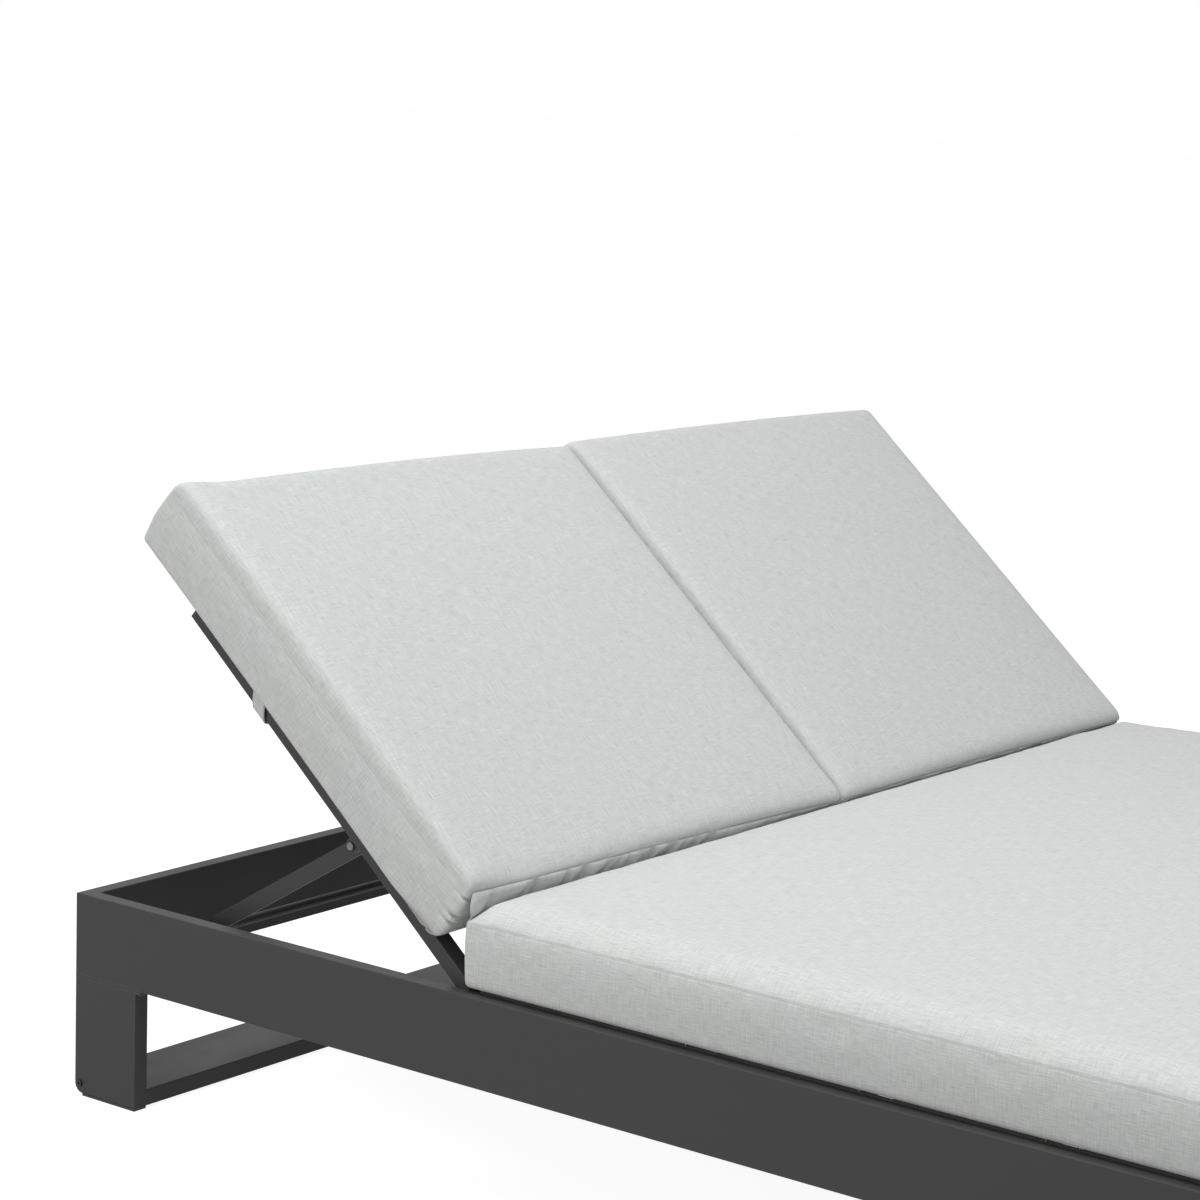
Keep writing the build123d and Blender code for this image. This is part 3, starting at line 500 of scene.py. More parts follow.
class ShaderGroups:
    """The node groups that several materials share."""

    def __init__(self) -> None:
        """Builds every group once."""
        self.melange = self._melange()
        self.coat = self._coat()
        self.edge = self._edge()
        self.dust_and_top_light = self._dust_and_top_light()

    @staticmethod
    def _melange() -> bpy.types.NodeTree:
        """Slubbed two-tone yarn in a plain weave, read in metres of cloth."""
        takes = {"Cloth": "Vector", "Light": "Color", "Dark": "Color", "Warm": "Color",
                 "Contrast": "Float"}
        wiring, given, out = Wiring.opened("melange_weave", "ShaderNodeTree", takes, SURFACE)
        cloth = given["Cloth"]
        weft = wiring.noise(cloth, (46.0, 760.0, 1.0), 3.0, 0.62)
        warp = wiring.noise(cloth, (820.0, 40.0, 1.0), 3.0, 0.62)
        grain = wiring.noise(cloth, (1500.0, 1500.0, 1.0), 1.0)
        cloud = wiring.noise(cloth, (7.0, 9.0, 1.0), 3.0, 0.55)
        slubs = wiring.plus(wiring.times(weft, 0.56), wiring.times(warp, 0.44))
        blend = wiring.plus(slubs, wiring.swing(grain, 0.22))
        pulled = wiring.swing(wiring.ranged(blend, 0.34, 0.66), given["Contrast"])
        share = wiring.maths("ADD", pulled, 0.5, clamp=True)
        yarn = wiring.mixed(share, given["Dark"], given["Light"])
        clouded = wiring.ranged(cloud, 0.35, 0.68, 0.0, 0.6)
        wave = {"Vector": cloth, "Scale": 190.0, "Distortion": 0.6, "Detail": 1.0}
        threads = [wiring.add("ShaderNodeTexWave", wave, wave_type="BANDS", wave_profile="SIN",
                              bands_direction=way).outputs["Fac"] for way in ("X", "Y")]
        weave = wiring.times(*threads)
        height = wiring.plus(wiring.times(weave, 0.45), wiring.times(blend, 0.9))
        wiring.fill(out, {"Colour": wiring.mixed(clouded, yarn, given["Warm"], "MULTIPLY"),
                          "Height": height,
                          "Rough": wiring.ranged(blend, 0.3, 0.7, 0.96, 0.84)})
        return wiring.tree

    @staticmethod
    def _coat() -> bpy.types.NodeTree:
        """The fine orange peel and faint clouding of a matt powder coat."""
        takes = {"Place": "Vector", "Tone": "Color", "Clouding": "Float"}
        wiring, given, out = Wiring.opened("powder_grain", "ShaderNodeTree", takes, SURFACE)
        place = given["Place"]
        cloud = wiring.noise(place, 5.0, 3.0, 0.6)
        speck = wiring.noise(place, 2600.0, 0.0)
        change = wiring.plus(wiring.swing(cloud, given["Clouding"]), wiring.swing(speck, 0.16))
        level = wiring.plus(change, 1.0)
        grey = wiring.add("ShaderNodeCombineColor", {0: level, 1: level, 2: level}).outputs[0]
        wiring.fill(out, {"Colour": wiring.mixed(1.0, given["Tone"], grey, "MULTIPLY"),
                          "Height": wiring.noise(place, 900.0, 2.0, 0.55),
                          "Rough": wiring.ranged(cloud, 0.3, 0.7, 0.46, 0.56)})
        return wiring.tree

    @staticmethod
    def _mask(name: str) -> Tuple[Wiring, Sequence[Socket], Node, Socket]:
        """Starts a mask's group, and reads the surface's own normal."""
        takes = {"Place": "Vector", "Amount": "Float"}
        wiring, given, out = Wiring.opened(name, "ShaderNodeTree", takes, MASK)
        return wiring, given, out, wiring.add("ShaderNodeNewGeometry").outputs["Normal"]

    def _edge(self) -> bpy.types.NodeTree:
        """A mask of scuffed edges, broken up by noise; the lighter colour laid through it is partly scuffing and
        partly a painted highlight.
        """
        wiring, given, out, sharp = self._mask("edge_wear")
        soft = wiring.add("ShaderNodeBevel", {"Radius": 1.6 * MM}, samples=4).outputs[0]
        agree = wiring.vectors("DOT_PRODUCT", soft, sharp)["Value"]
        bend = wiring.ranged(wiring.maths("SUBTRACT", 1.0, agree), 0.02, 0.22)
        broken = wiring.ranged(wiring.noise(given["Place"], 60.0, 4.0, 0.65), 0.38, 0.66)
        # Painted highlight: the mask lightens every sharp edge, partly as scuffing, partly standing in for the
        # light the edges catch.
        rubbed_and_highlit = wiring.times(bend, broken)
        wiring.fill(out, {"Mask": wiring.maths("MULTIPLY", rubbed_and_highlit, given["Amount"], clamp=True)})
        return wiring.tree

    def _dust_and_top_light(self) -> bpy.types.NodeTree:
        """A mask of faces that look up, in noisy drifts; the lighter, browner tone laid through it is partly a
        fine dusting and partly painted top light.
        """
        wiring, given, out, normal = self._mask("settled_dust")
        up = wiring.add("ShaderNodeSeparateXYZ", {0: normal}).outputs["Z"]
        drift = wiring.ranged(wiring.noise(given["Place"], 11.0, 5.0, 0.6), 0.35, 0.75)
        # Painted top light: faces that look up are lightened here, partly as dusting, partly standing in for the
        # light that falls on them.
        fallen_and_lit = wiring.times(wiring.ranged(up, 0.55, 0.95), drift)
        wiring.fill(out, {"Mask": wiring.maths("MULTIPLY", fallen_and_lit, given["Amount"], clamp=True)})
        return wiring.tree


def fresh_material(name: str) -> Tuple[Material, Wiring, Node]:
    """A new material with one Principled BSDF.

    Args:
        name: The material's name.

    Returns:
        The material, its wiring and its shader node.
    """
    material = bpy.data.materials.new(name)
    wiring = Wiring.emptied(material)
    shader = wiring.add("ShaderNodeBsdfPrincipled")
    wiring.add("ShaderNodeOutputMaterial", {"Surface": shader.outputs[0]})
    return material, wiring, shader


@dataclass(frozen=True)
class MelangeCloth:
    """Light grey outdoor cloth woven from slubbed two-tone yarn, on a piece's cloth map."""

    name: str
    light: Colour = (0.79, 0.805, 0.795)
    dark: Colour = (0.47, 0.5, 0.5)
    warm: Colour = (1.0, 0.985, 0.955)
    contrast: float = 0.82
    relief: float = 0.25
    depth: float = 0.6 * MM
    sheen: float = 0.25
    gloss: float = 0.2

    def build(self, groups: ShaderGroups) -> Material:
        """Makes the material from the shared groups."""
        material, wiring, shader = fresh_material(self.name)
        cloth = wiring.add("ShaderNodeUVMap", uv_map=CLOTH_MAP).outputs[0]
        weave = wiring.group(groups.melange, {
            "Cloth": cloth, "Light": opaque(self.light), "Dark": opaque(self.dark),
            "Warm": opaque(self.warm), "Contrast": self.contrast})
        wiring.fill(shader, {
            "Base Color": weave["Colour"], "Roughness": weave["Rough"],
            "Normal": wiring.bump(weave["Height"], self.relief, self.depth),
            "Sheen Weight": self.sheen, "Sheen Roughness": 0.5, "Specular IOR Level": self.gloss})
        return material


@dataclass(frozen=True)
class PowderCoat:
    """Matt powder coat on aluminium; its edges are lighter, partly from scuffing and partly as a painted
    highlight, and its faces that look up are lighter and browner, partly from dusting and partly as painted top
    light.
    """

    name: str
    tone: Colour
    # The next colour is the lighter edge colour, partly scuffing and partly a painted highlight; the one after is
    # the up-facing faces' tone, partly dusting and partly painted top light.
    rubbed_and_highlit: Colour
    dusty_top_light_tone: Colour
    clouding: float = 0.22
    wear_and_highlight: float = 0.35
    dust_and_top_light: float = 0.3
    peel: float = 0.12
    depth: float = 0.3 * MM
    gloss: float = 0.22

    def build(self, groups: ShaderGroups) -> Material:
        """Makes the material from the shared groups."""
        material, wiring, shader = fresh_material(self.name)
        place = wiring.add("ShaderNodeTexCoord").outputs["Object"]
        grain = wiring.group(groups.coat, {"Place": place, "Tone": opaque(self.tone),
                                           "Clouding": self.clouding})
        edge = wiring.group(groups.edge, {"Place": place, "Amount": self.wear_and_highlight})
        dust_and_top_light = wiring.group(groups.dust_and_top_light, {"Place": place, "Amount": self.dust_and_top_light})
        # Painted highlight on the edges and painted top light on up-facing faces, mixed over the coat's own colour
        # along with scuffing and dusting.
        worn_and_highlit = wiring.mixed(edge["Mask"], grain["Colour"], opaque(self.rubbed_and_highlit))
        wiring.fill(shader, {
            "Base Color": wiring.mixed(dust_and_top_light["Mask"], worn_and_highlit, opaque(self.dusty_top_light_tone)),
            "Roughness": grain["Rough"], "Specular IOR Level": self.gloss,
            "Normal": wiring.bump(grain["Height"], self.peel, self.depth)})
        return material


@dataclass(frozen=True)
class HardFinish:
    """Moulded nylon, stainless steel, blackened steel or thread on small parts."""

    name: str
    tone: Colour
    metallic: float
    rough: Tuple[float, float]
    grain_scale: float
    relief: float
    rubbed_and_highlit: Colour
    wear_and_highlight: float = 0.5
    depth: float = 0.2 * MM

    def build(self, groups: ShaderGroups) -> Material:
        """Makes the material from the shared groups."""
        material, wiring, shader = fresh_material(self.name)
        place = wiring.add("ShaderNodeTexCoord").outputs["Object"]
        grain = wiring.noise(place, self.grain_scale, 3.0, 0.6)
        # The lighter edge colour is partly scuffing and partly a painted highlight on the edges.
        edge = wiring.group(groups.edge, {"Place": place, "Amount": self.wear_and_highlight})
        tone, rubbed_and_highlit = opaque(self.tone), opaque(self.rubbed_and_highlit)
        shade = wiring.mixed(wiring.ranged(grain, 0.3, 0.7, 0.0, 0.35), tone, rubbed_and_highlit)
        wiring.fill(shader, {
            "Base Color": wiring.mixed(edge["Mask"], shade, rubbed_and_highlit), "Metallic": self.metallic,
            "Roughness": wiring.ranged(grain, 0.3, 0.7, *self.rough),
            "Normal": wiring.bump(grain, self.relief, self.depth)})
        return material


class Materials:
    """Every finish of the lounger, by its slot."""

    def __init__(self) -> None:
        """Builds the shared groups and the materials."""
        groups = ShaderGroups()
        finishes = {
            # The coat's second colour paints lighter edges, partly scuffing and partly a painted highlight; its
            # third paints up-facing faces lighter and browner, partly dusting and partly painted top light.
            Slot.COAT: PowderCoat("powder_coat", (0.052, 0.052, 0.053), (0.26, 0.25, 0.24),
                                  (0.15, 0.142, 0.13)),
            Slot.FABRIC: MelangeCloth("melange_cloth"),
            Slot.WEBBING: MelangeCloth("strap_cloth", relief=0.4),
            Slot.PLASTIC: HardFinish("black_nylon", (0.018, 0.018, 0.019), 0.0, (0.42, 0.6),
                                     700.0, 0.2, (0.05, 0.05, 0.052)),
            Slot.BOLT: HardFinish("stainless_bolt", (0.12, 0.12, 0.12), 0.75, (0.34, 0.5),
                                  240.0, 0.1, (0.34, 0.34, 0.33)),
            Slot.SCREW: HardFinish("blackened_screw", (0.014, 0.014, 0.015), 0.5, (0.3, 0.46),
                                   500.0, 0.15, (0.06, 0.06, 0.06)),
        }
        self.by_slot = {slot: finish.build(groups) for slot, finish in finishes.items()}
        thread = HardFinish("seam_thread", (0.64, 0.66, 0.65), 0.0, (0.7, 0.9), 900.0, 0.3,
                            (0.7, 0.72, 0.71))
        self.thread = thread.build(groups)

    def __getitem__(self, slot: Slot) -> Material:
        """The material of one slot."""
        return self.by_slot[slot]


class CadDressing:
    """Gives the carried-over CAD nodes their materials."""

    def __init__(self, materials: Materials) -> None:
        """Keeps the materials and reads each node's slot from the record."""
        self.materials = materials
        rows = frame["record"]["subparts"]
        self.slots = {row["node"]: Slot(row["material_slot"]) for row in rows}

    def dress(self) -> None:
        """Assigns each node's material by its slot."""
        for name, node in frame["nodes"].items():
            for entry in node.material_slots:
                entry.material = self.materials[self.slots[name]]
        LOG.info("%d construction pieces dressed", len(frame["nodes"]))


@dataclass
class Stitcher:
    """Runs stitches along seam paths with one Geometry Nodes tree."""

    material: Material
    pitch: float = 4.6 * MM
    length: float = 3.4 * MM
    radius: float = 0.45 * MM
    sides: int = 5
    tree: bpy.types.NodeTree = field(init=False)

    def __post_init__(self) -> None:
        """Builds the tree with its named inputs."""
        takes = {"Seam": "Geometry", "Pitch": "Float", "Stitch Length": "Float",
                 "Thread Radius": "Float", "Thread": "Material"}
        wiring, entry, out = Wiring.opened("seam_stitches", "GeometryNodeTree", takes,
                                           {"Stitches": "Geometry"})
        curve = wiring.add("GeometryNodeMeshToCurve", {0: entry["Seam"]}).outputs[0]
        points = wiring.add("GeometryNodeCurveToPoints",
                            {"Curve": curve, "Length": entry["Pitch"]}, mode="LENGTH").outputs
        thread = wiring.add("GeometryNodeMeshCylinder",
                            {"Vertices": self.sides, "Side Segments": 1,
                             "Radius": entry["Thread Radius"], "Depth": entry["Stitch Length"]},
                            fill_type="NGON").outputs["Mesh"]
        placed = wiring.add("GeometryNodeInstanceOnPoints",
                            {"Points": points["Points"], "Instance": thread,
                             "Rotation": points["Rotation"]}).outputs[0]
        real = wiring.add("GeometryNodeRealizeInstances", {0: placed}).outputs[0]
        painted = wiring.add("GeometryNodeSetMaterial",
                             {"Geometry": real, "Material": entry["Thread"]}).outputs[0]
        wiring.fill(out, {0: painted})
        self.tree = wiring.tree

    def run(self, name: str, path: np.ndarray, body: str, slot: Slot) -> Object:
        """Sews along a closed path and makes one plain mesh of the stitches.

        Args:
            name: The piece's name.
            path: The seam as rows of x, y and z.
            body: The body that the stitches ride on.
            slot: Not used.

        Returns:
            The stitches' object.
        """
        count = len(path)
        mesh = bpy.data.meshes.new(name)
        edges = [(i, (i + 1) % count) for i in range(count)]
        mesh.from_pydata([tuple(p) for p in path], edges, [])
        piece = Piece.from_mesh(name, mesh, self.material)
        sewing = piece.modifiers.new("stitches", "NODES")
        sewing.node_group = self.tree
        values = {"Pitch": self.pitch, "Stitch Length": self.length,
                  "Thread Radius": self.radius, "Thread": self.material}
        for item in self.tree.interface.items_tree:
            if item.in_out == "INPUT" and item.name in values:
                sewing[item.identifier] = values[item.name]
        Piece.baked(piece)
        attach(piece, body)
        LOG.info("%s: %d faces", name, len(piece.data.polygons))
        return piece


@dataclass(frozen=True)
class Roll:
    """How the top panel turns up from a seam, and how slowly the crown rises behind it."""

    run: float
    square: float
    reach: float

    def turned(self, gap: np.ndarray) -> np.ndarray:
        """The share of the roll's height at each distance in from the seam."""
        left = 1.0 - np.clip(gap / self.run, 0.0, 1.0)
        return (1.0 - left ** self.square) ** (1.0 / self.square)

    def rows(self, height: float, arcs: Sequence[float]) -> np.ndarray:
        """Finds grid lines by their distance along the cloth.

        Args:
            height: The roll's height.
            arcs: Distances along the cloth from the seam.

        Returns:
            The lines' distances in from the seam, in plan.
        """
        gap = self.run * np.linspace(0.0, 1.0, ROLL_SAMPLES) ** 3
        steps = np.hypot(np.diff(gap), np.diff(height * self.turned(gap)))
        return np.interp(arcs, np.concatenate([[0.0], np.cumsum(steps)]), gap)


Edges = Tuple[Roll, Roll, Roll, Roll]


def rolls(*rows: Tuple[float, float, float]) -> Edges:
    """The rolls at the length's start and end and the width's, with lengths in millimetres."""
    return tuple(Roll(run * MM, square, reach * MM) for run, square, reach in rows)


@dataclass
class PanelGrid:
    """A boxed cushion's panels as one closed grid of quads over a flat box that starts at 0."""

    length: float
    width: float
    height: float
    roll: float
    edges: Edges
    cell: float
    boxing_cell: float
    arcs: Tuple[float, ...]
    seam_rows: Tuple[float, ...] = ()
    base_rows: Tuple[float, ...] = ()

    def __post_init__(self) -> None:
        """Works out the grid lines and numbers the points."""
        self.xs = self.lines(self.length, *self.edges[:2])
        self.ys = self.lines(self.width, *self.edges[2:])
        even = np.linspace(0.0, self.height, max(2, round(self.height / self.boxing_cell)) + 1)
        under = [self.height - row for row in self.seam_rows]
        self.zs = np.unique(np.round(np.concatenate([even, self.base_rows, under]), 6))
        nx, ny, nz = len(self.xs), len(self.ys), len(self.zs)
        self.top = np.arange(nx * ny).reshape(nx, ny)
        self.base = self.top + nx * ny
        rim = self.loop(0)
        count = len(rim)
        between = np.arange(count * (nz - 2)).reshape(count, nz - 2)
        self.boxing = np.zeros((count, nz), int)
        self.boxing[:, 0] = self.base[rim[:, 0], rim[:, 1]]
        self.boxing[:, -1] = self.top[rim[:, 0], rim[:, 1]]
        self.boxing[:, 1:-1] = 2 * nx * ny + between
        self.point_count = 2 * nx * ny + between.size
        self.us = self.laid(self.xs, *self.edges[:2])
        self.vs = self.laid(self.ys, *self.edges[2:])
        corners = np.stack([self.xs[rim[:, 0]], self.ys[rim[:, 1]]], -1)
        steps = np.linalg.norm(np.diff(corners, axis=0, append=corners[:1]), axis=1)
        self.run = np.concatenate([[0.0], np.cumsum(steps)])

    def loop(self, row: int) -> np.ndarray:
        """The grid places on one row round the top's seam, where row 0 is the seam."""
        nx, ny = len(self.xs) - 1 - row, len(self.ys) - 1 - row
        places = [(i, row) for i in range(row, nx + 1)]
        places += [(nx, j) for j in range(row + 1, ny + 1)]
        places += [(i, ny) for i in range(nx - 1, row - 1, -1)]
        places += [(row, j) for j in range(ny - 1, row, -1)]
        return np.array(places)

    def lines(self, span: float, first: Roll, last: Roll) -> np.ndarray:
        """Grid lines over a span: even cells, with rows down the roll at both ends.

        Args:
            span: The length that the lines cover.
            first: The roll at its start.
            last: The roll at its end.

        Returns:
            The lines' places from 0 to the span.
        """
        begin, end = first.rows(self.roll, self.arcs), last.rows(self.roll, self.arcs)
        cells = max(2, round((span - begin[-1] - end[-1]) / self.cell))
        even = np.linspace(begin[-1], span - end[-1], cells + 1)
        return np.concatenate([[0.0], begin[:-1], even, (span - end[:-1])[::-1], [span]])

    def laid(self, lines: np.ndarray, first: Roll, last: Roll) -> np.ndarray:
        """The lines' places along the cloth, where the rolls are longer than their plan.

        Args:
            lines: Grid lines over a span.
            first: The roll at its start.
            last: The roll at its end.

        Returns:
            Distances along the cloth from the first line.
        """
        profile = self.roll * first.turned(lines) * last.turned(lines[-1] - lines)
        steps = np.hypot(np.diff(lines), np.diff(profile))
        return np.concatenate([[0.0], np.cumsum(steps)])

    def plan(self, radius: float) -> Tuple[np.ndarray, np.ndarray, np.ndarray, np.ndarray]:
        """Rounds the plan's corners by mapping each corner square to a quarter disc.

        Args:
            radius: The corners' radius.

        Returns:
            The plain x and y of each top point, and the rounded ones.
        """
        x, y = np.meshgrid(self.xs, self.ys, indexing="ij")
        dx, dy = x - self.length / 2, y - self.width / 2
        p = np.clip((np.abs(dx) - (self.length / 2 - radius)) / radius, 0.0, 1.0)
        q = np.clip((np.abs(dy) - (self.width / 2 - radius)) / radius, 0.0, 1.0)
        pulled_x = np.sign(dx) * radius * p * (np.sqrt(1.0 - q * q / 2.0) - 1.0)
        pulled_y = np.sign(dy) * radius * q * (np.sqrt(1.0 - p * p / 2.0) - 1.0)
        return x, y, x + pulled_x, y + pulled_y

    def faces(self) -> Tuple[np.ndarray, np.ndarray]:
        """The outward quads of all panels, and each one's panel number."""
        ring = np.vstack([self.boxing, self.boxing[:1]])
        found = [(quads(self.top), Panel.TOP), (quads(self.base[:, ::-1]), Panel.BASE),
                 (quads(ring), Panel.BOXING)]
        panels = [np.full(len(made), panel.value) for made, panel in found]
        return np.concatenate([made for made, _ in found]), np.concatenate(panels)

    def carried(self, shift: np.ndarray, other: "PanelGrid") -> np.ndarray:
        """Reads shifts of another grid's points at this grid's points.

        Args:
            shift: The other grid's shifts, one row a point.
            other: The grid that they belong to, over the same box.

        Returns:
            The shifts at this grid's points.
        """
        result = np.zeros((self.point_count, 3))
        across, along = weights(self.us, other.us), weights(self.vs, other.vs)
        around, up = weights(self.run[:-1], other.run), weights(self.zs, other.zs)
        rings = np.vstack([other.boxing, other.boxing[:1]])
        for axis, value in enumerate(shift.T):
            result[self.boxing, axis] = around @ value[rings] @ up.T
            result[self.top, axis] = across @ value[other.top] @ along.T
        return result


@dataclass(frozen=True)
class ClothTrial:
    """Fills a cushion's cloth out in Blender's cloth simulation."""

    pressure: float
    surplus: float
    frames: int = 20
    loose_hold: float = 0.03
    inner_hold: float = 0.3
    inner_reach: float = 90.0 * MM
    seam_hold: float = 0.85
    taut_reach: float = 45.0 * MM

    def groups(self, grid: PanelGrid) -> Dict[str, np.ndarray]:
        """How firmly each point is held, and how little slack its cloth has.

        Args:
            grid: The cushion's coarse grid.

        Returns:
            The weights of the vertex groups, by their names.
        """
        x, y = np.meshgrid(grid.us, grid.vs, indexing="ij")
        gap = np.ones(grid.point_count)
        in_x, in_y = np.minimum(x, grid.us[-1] - x), np.minimum(y, grid.vs[-1] - y)
        gap[grid.top] = np.minimum(in_x, in_y)
        gap[grid.boxing[:, 1:-1]] = (grid.height - grid.zs)[None, 1:-1]
        hold = self.loose_hold + self.inner_hold * eased(gap / self.inner_reach)
        hold[grid.boxing[:, -1]] = self.seam_hold
        hold[grid.boxing[:, 0]] = 1.0
        return {"hold": hold, "taut": eased(gap / self.taut_reach)}

    def run(self, trial: Object, grid: PanelGrid) -> np.ndarray:
        """Runs the simulation on a throw-away piece.

        Args:
            trial: The piece, on the coarse grid without its base. It is deleted.
            grid: The coarse grid.

        Returns:
            Where the points end, as rows of x, y and z.
        """
        for label, values in self.groups(grid).items():
            group = trial.vertex_groups.new(name=label)
            for index, value in enumerate(values):
                group.add([index], float(value), "REPLACE")
        cloth = trial.modifiers.new("cloth", "CLOTH")
        settings = {"quality": 6, "mass": 0.2, "tension_stiffness": 20.0,
                    "compression_stiffness": 20.0, "shear_stiffness": 8.0,
                    "bending_stiffness": 0.6, "use_pressure": True,
                    "uniform_pressure_force": self.pressure, "vertex_group_mass": "hold",
                    "pin_stiffness": 1.0, "vertex_group_shrink": "taut",
                    "shrink_min": -self.surplus, "shrink_max": 0.0}
        for name, value in settings.items():
            setattr(cloth.settings, name, value)
        cloth.settings.effector_weights.gravity = 0.0
        cloth.point_cache.frame_start, cloth.point_cache.frame_end = 1, self.frames
        scene = bpy.context.scene
        for step in range(1, self.frames + 1):
            scene.frame_set(step)
        view = bpy.context.evaluated_depsgraph_get()
        result = np.zeros(grid.point_count * 3, np.float32)
        trial.evaluated_get(view).data.vertices.foreach_get("co", result)
        scene.frame_set(1)
        mesh = trial.data
        bpy.data.objects.remove(trial)
        bpy.data.meshes.remove(mesh)
        return result.reshape(-1, 3).astype(float)


@dataclass
class BoxedCushion:
    """A boxed cushion: rolled and crowned top, drawn-in boxing, puckered seams and stitches."""

    name: str
    node: str
    body: str
    seam_height: float = 82.7 * MM
    roll: float = 25.0 * MM
    edges: Edges = rolls((33, 1.45, 90), (30, 1.55, 60), (36, 1.35, 60), (15, 2.5, 12))
    crown: float = 8.0 * MM
    plan_radius: float = 5.0 * MM
    stretch: float = 4.5 * MM
    draw_in: float = 2.5 * MM
    boxing_bulge: float = 2.0 * MM
    base_radius: float = 8.0 * MM
    toe_radius: float = 8.0 * MM
    toe_from: float = 0.85
    toe_over: float = 0.14
    ditch: float = 0.7 * MM
    stitch_ditch: float = 0.25 * MM
    cell: float = 11.0 * MM
    boxing_cell: float = 11.0 * MM
    trial_boxing_cell: float = 11.0 * MM
    swell_cap: float = 5.0 * MM
    surplus: float = 0.014
    pressure: float = 1.5
    seam_arcs: Tuple[float, ...] = mm(1.6, 3.3, 5.2, 8.5, 13, 18.5, 24.5, 30)
    trial_arcs: Tuple[float, ...] = mm(10, 20, 30)
    seam_rows: Tuple[float, ...] = mm(1.6, 3.6, 6.5)
    base_rows: Tuple[float, ...] = mm(0.7, 2.7, 5.7)
    stitch_row: int = 2
    grid: PanelGrid = field(init=False)
    low: np.ndarray = field(init=False)
    points: np.ndarray = field(init=False)
    piece: Object = field(init=False)

    def __post_init__(self) -> None:
        """Takes the cushion's footprint from its CAD node, and its height up to the seam."""
        low, high = self.footprint()
        self.low = low - np.array([self.stretch, 0.0, 0.0])
        self.sizes = (high[0] - self.low[0], high[1] - low[1], self.seam_height, self.roll,
                      self.edges, self.cell)
        self.grid = PanelGrid(*self.sizes, self.boxing_cell, self.seam_arcs, self.seam_rows,
                              self.base_rows)

    def footprint(self) -> Tuple[np.ndarray, np.ndarray]:
        """The CAD cushion's lowest and highest corner as it lies flat."""
        return node_box(self.node)

    def placed(self, points: np.ndarray) -> np.ndarray:
        """Puts flat points where the cushion is at rest."""
        return points + self.low

    def settled(self, points: np.ndarray) -> np.ndarray:
        """Leaves the points as they are; a back cushion leans and slips here."""
        return points

    def risen(self, x: np.ndarray, y: np.ndarray) -> np.ndarray:
        """The top panel's height over its seam.

        Args:
            x: Places along the length, from 0.
            y: Places across the width, from 0.

        Returns:
            The rise at each place: each edge's own roll, then a slow crown.
        """
        rolled, crowned = np.ones_like(x), np.ones_like(x)
        gaps = (x, self.grid.length - x, y, self.grid.width - y)
        for gap, edge in zip(gaps, self.edges):
            rolled = rolled * edge.turned(gap)
            crowned = crowned * (1.0 - np.exp(-np.maximum(gap, 0.0) / edge.reach))
        return self.roll * rolled + self.crown * crowned

    def shape(self, grid: PanelGrid) -> np.ndarray:
        """The smooth cushion before any swelling.

        Args:
            grid: The grid that it is laid on.

        Returns:
            All points, laid flat, from the cushion's own corner.
        """
        points = np.zeros((grid.point_count, 3))
        x, y, px, py = grid.plan(self.plan_radius)
        end_x, end_y = 2.0 * x / grid.length - 1.0, 2.0 * y / grid.width - 1.0
        px = px - self.draw_in * (1.0 - end_y ** 2) * end_x
        py = py - self.draw_in * (1.0 - end_x ** 2) * end_y
        points[grid.top] = np.stack([px, py, grid.height + self.risen(x, y)], -1)
        toe = self.toe_radius * x / grid.length
        heel = self.base_radius * (1.0 - x / grid.length)
        flat = [px + heel - toe, py - self.base_radius * end_y, np.zeros_like(x)]
        points[grid.base] = np.stack(flat, -1)
        ring = points[grid.boxing[:, -1], :2]
        out = self.rim_outward(ring)
        toeward = eased((ring[:, 0] / grid.length - self.toe_from) / self.toe_over)
        radius = self.base_radius + (self.toe_radius - self.base_radius) * toeward
        for row in range(1, len(grid.zs) - 1):
            z = grid.zs[row]
            rise = z / grid.height
            tuck = radius * (1.0 - np.sqrt(1.0 - np.clip(1.0 - z / radius, 0.0, 1.0) ** 2))
            reach = self.boxing_bulge * 4.0 * rise * (1.0 - rise) - tuck
            points[grid.boxing[:, row], :2] = ring + out * reach[:, None]
            points[grid.boxing[:, row], 2] = z
        return self.settled(points)

    @staticmethod
    def rim_outward(ring: np.ndarray) -> np.ndarray:
        """The outward direction in plan at each point of the rim."""
        ahead = np.roll(ring, -1, axis=0) - np.roll(ring, 1, axis=0)
        size = np.linalg.norm(ahead, axis=1)
        return np.stack([ahead[:, 1] / size, -ahead[:, 0] / size], -1)

    def cloth_map(self, mesh: Mesh, panels: np.ndarray) -> None:
        """Lays each panel's cloth out in metres, with the weave turned along the boxing.

        Args:
            mesh: The cushion's mesh.
            panels: Each face's panel number.
        """
        grid = self.grid
        lap, round_rim = grid.run[-1], grid.run[:-1]
        flat = np.zeros((grid.point_count, 2))
        gx, gy = np.meshgrid(grid.us, grid.vs, indexing="ij")
        flat[grid.top] = np.stack([gx, gy], -1)
        flat[grid.base] = np.stack([gx + 2 * grid.length, gy], -1)
        side = np.zeros((grid.point_count, 2))
        for row, z in enumerate(grid.zs):
            up = np.full(len(round_rim), z + 2 * grid.width)
            side[grid.boxing[:, row]] = np.stack([round_rim, up], -1)
        corner = Piece.corners(mesh)
        on_side = np.repeat(panels == Panel.BOXING.value, 4)
        chosen = np.where(on_side[:, None], side[corner], flat[corner])
        runs = chosen[:, 0].reshape(-1, 4)
        wraps = on_side.reshape(-1, 4)[:, 0] & (runs.max(1) - runs.min(1) > lap / 2)
        runs[wraps] = np.where(runs[wraps] < lap / 2, runs[wraps] + lap, runs[wraps])
        chosen[:, 0] = runs.ravel()
        Piece.lay_cloth(mesh, chosen)

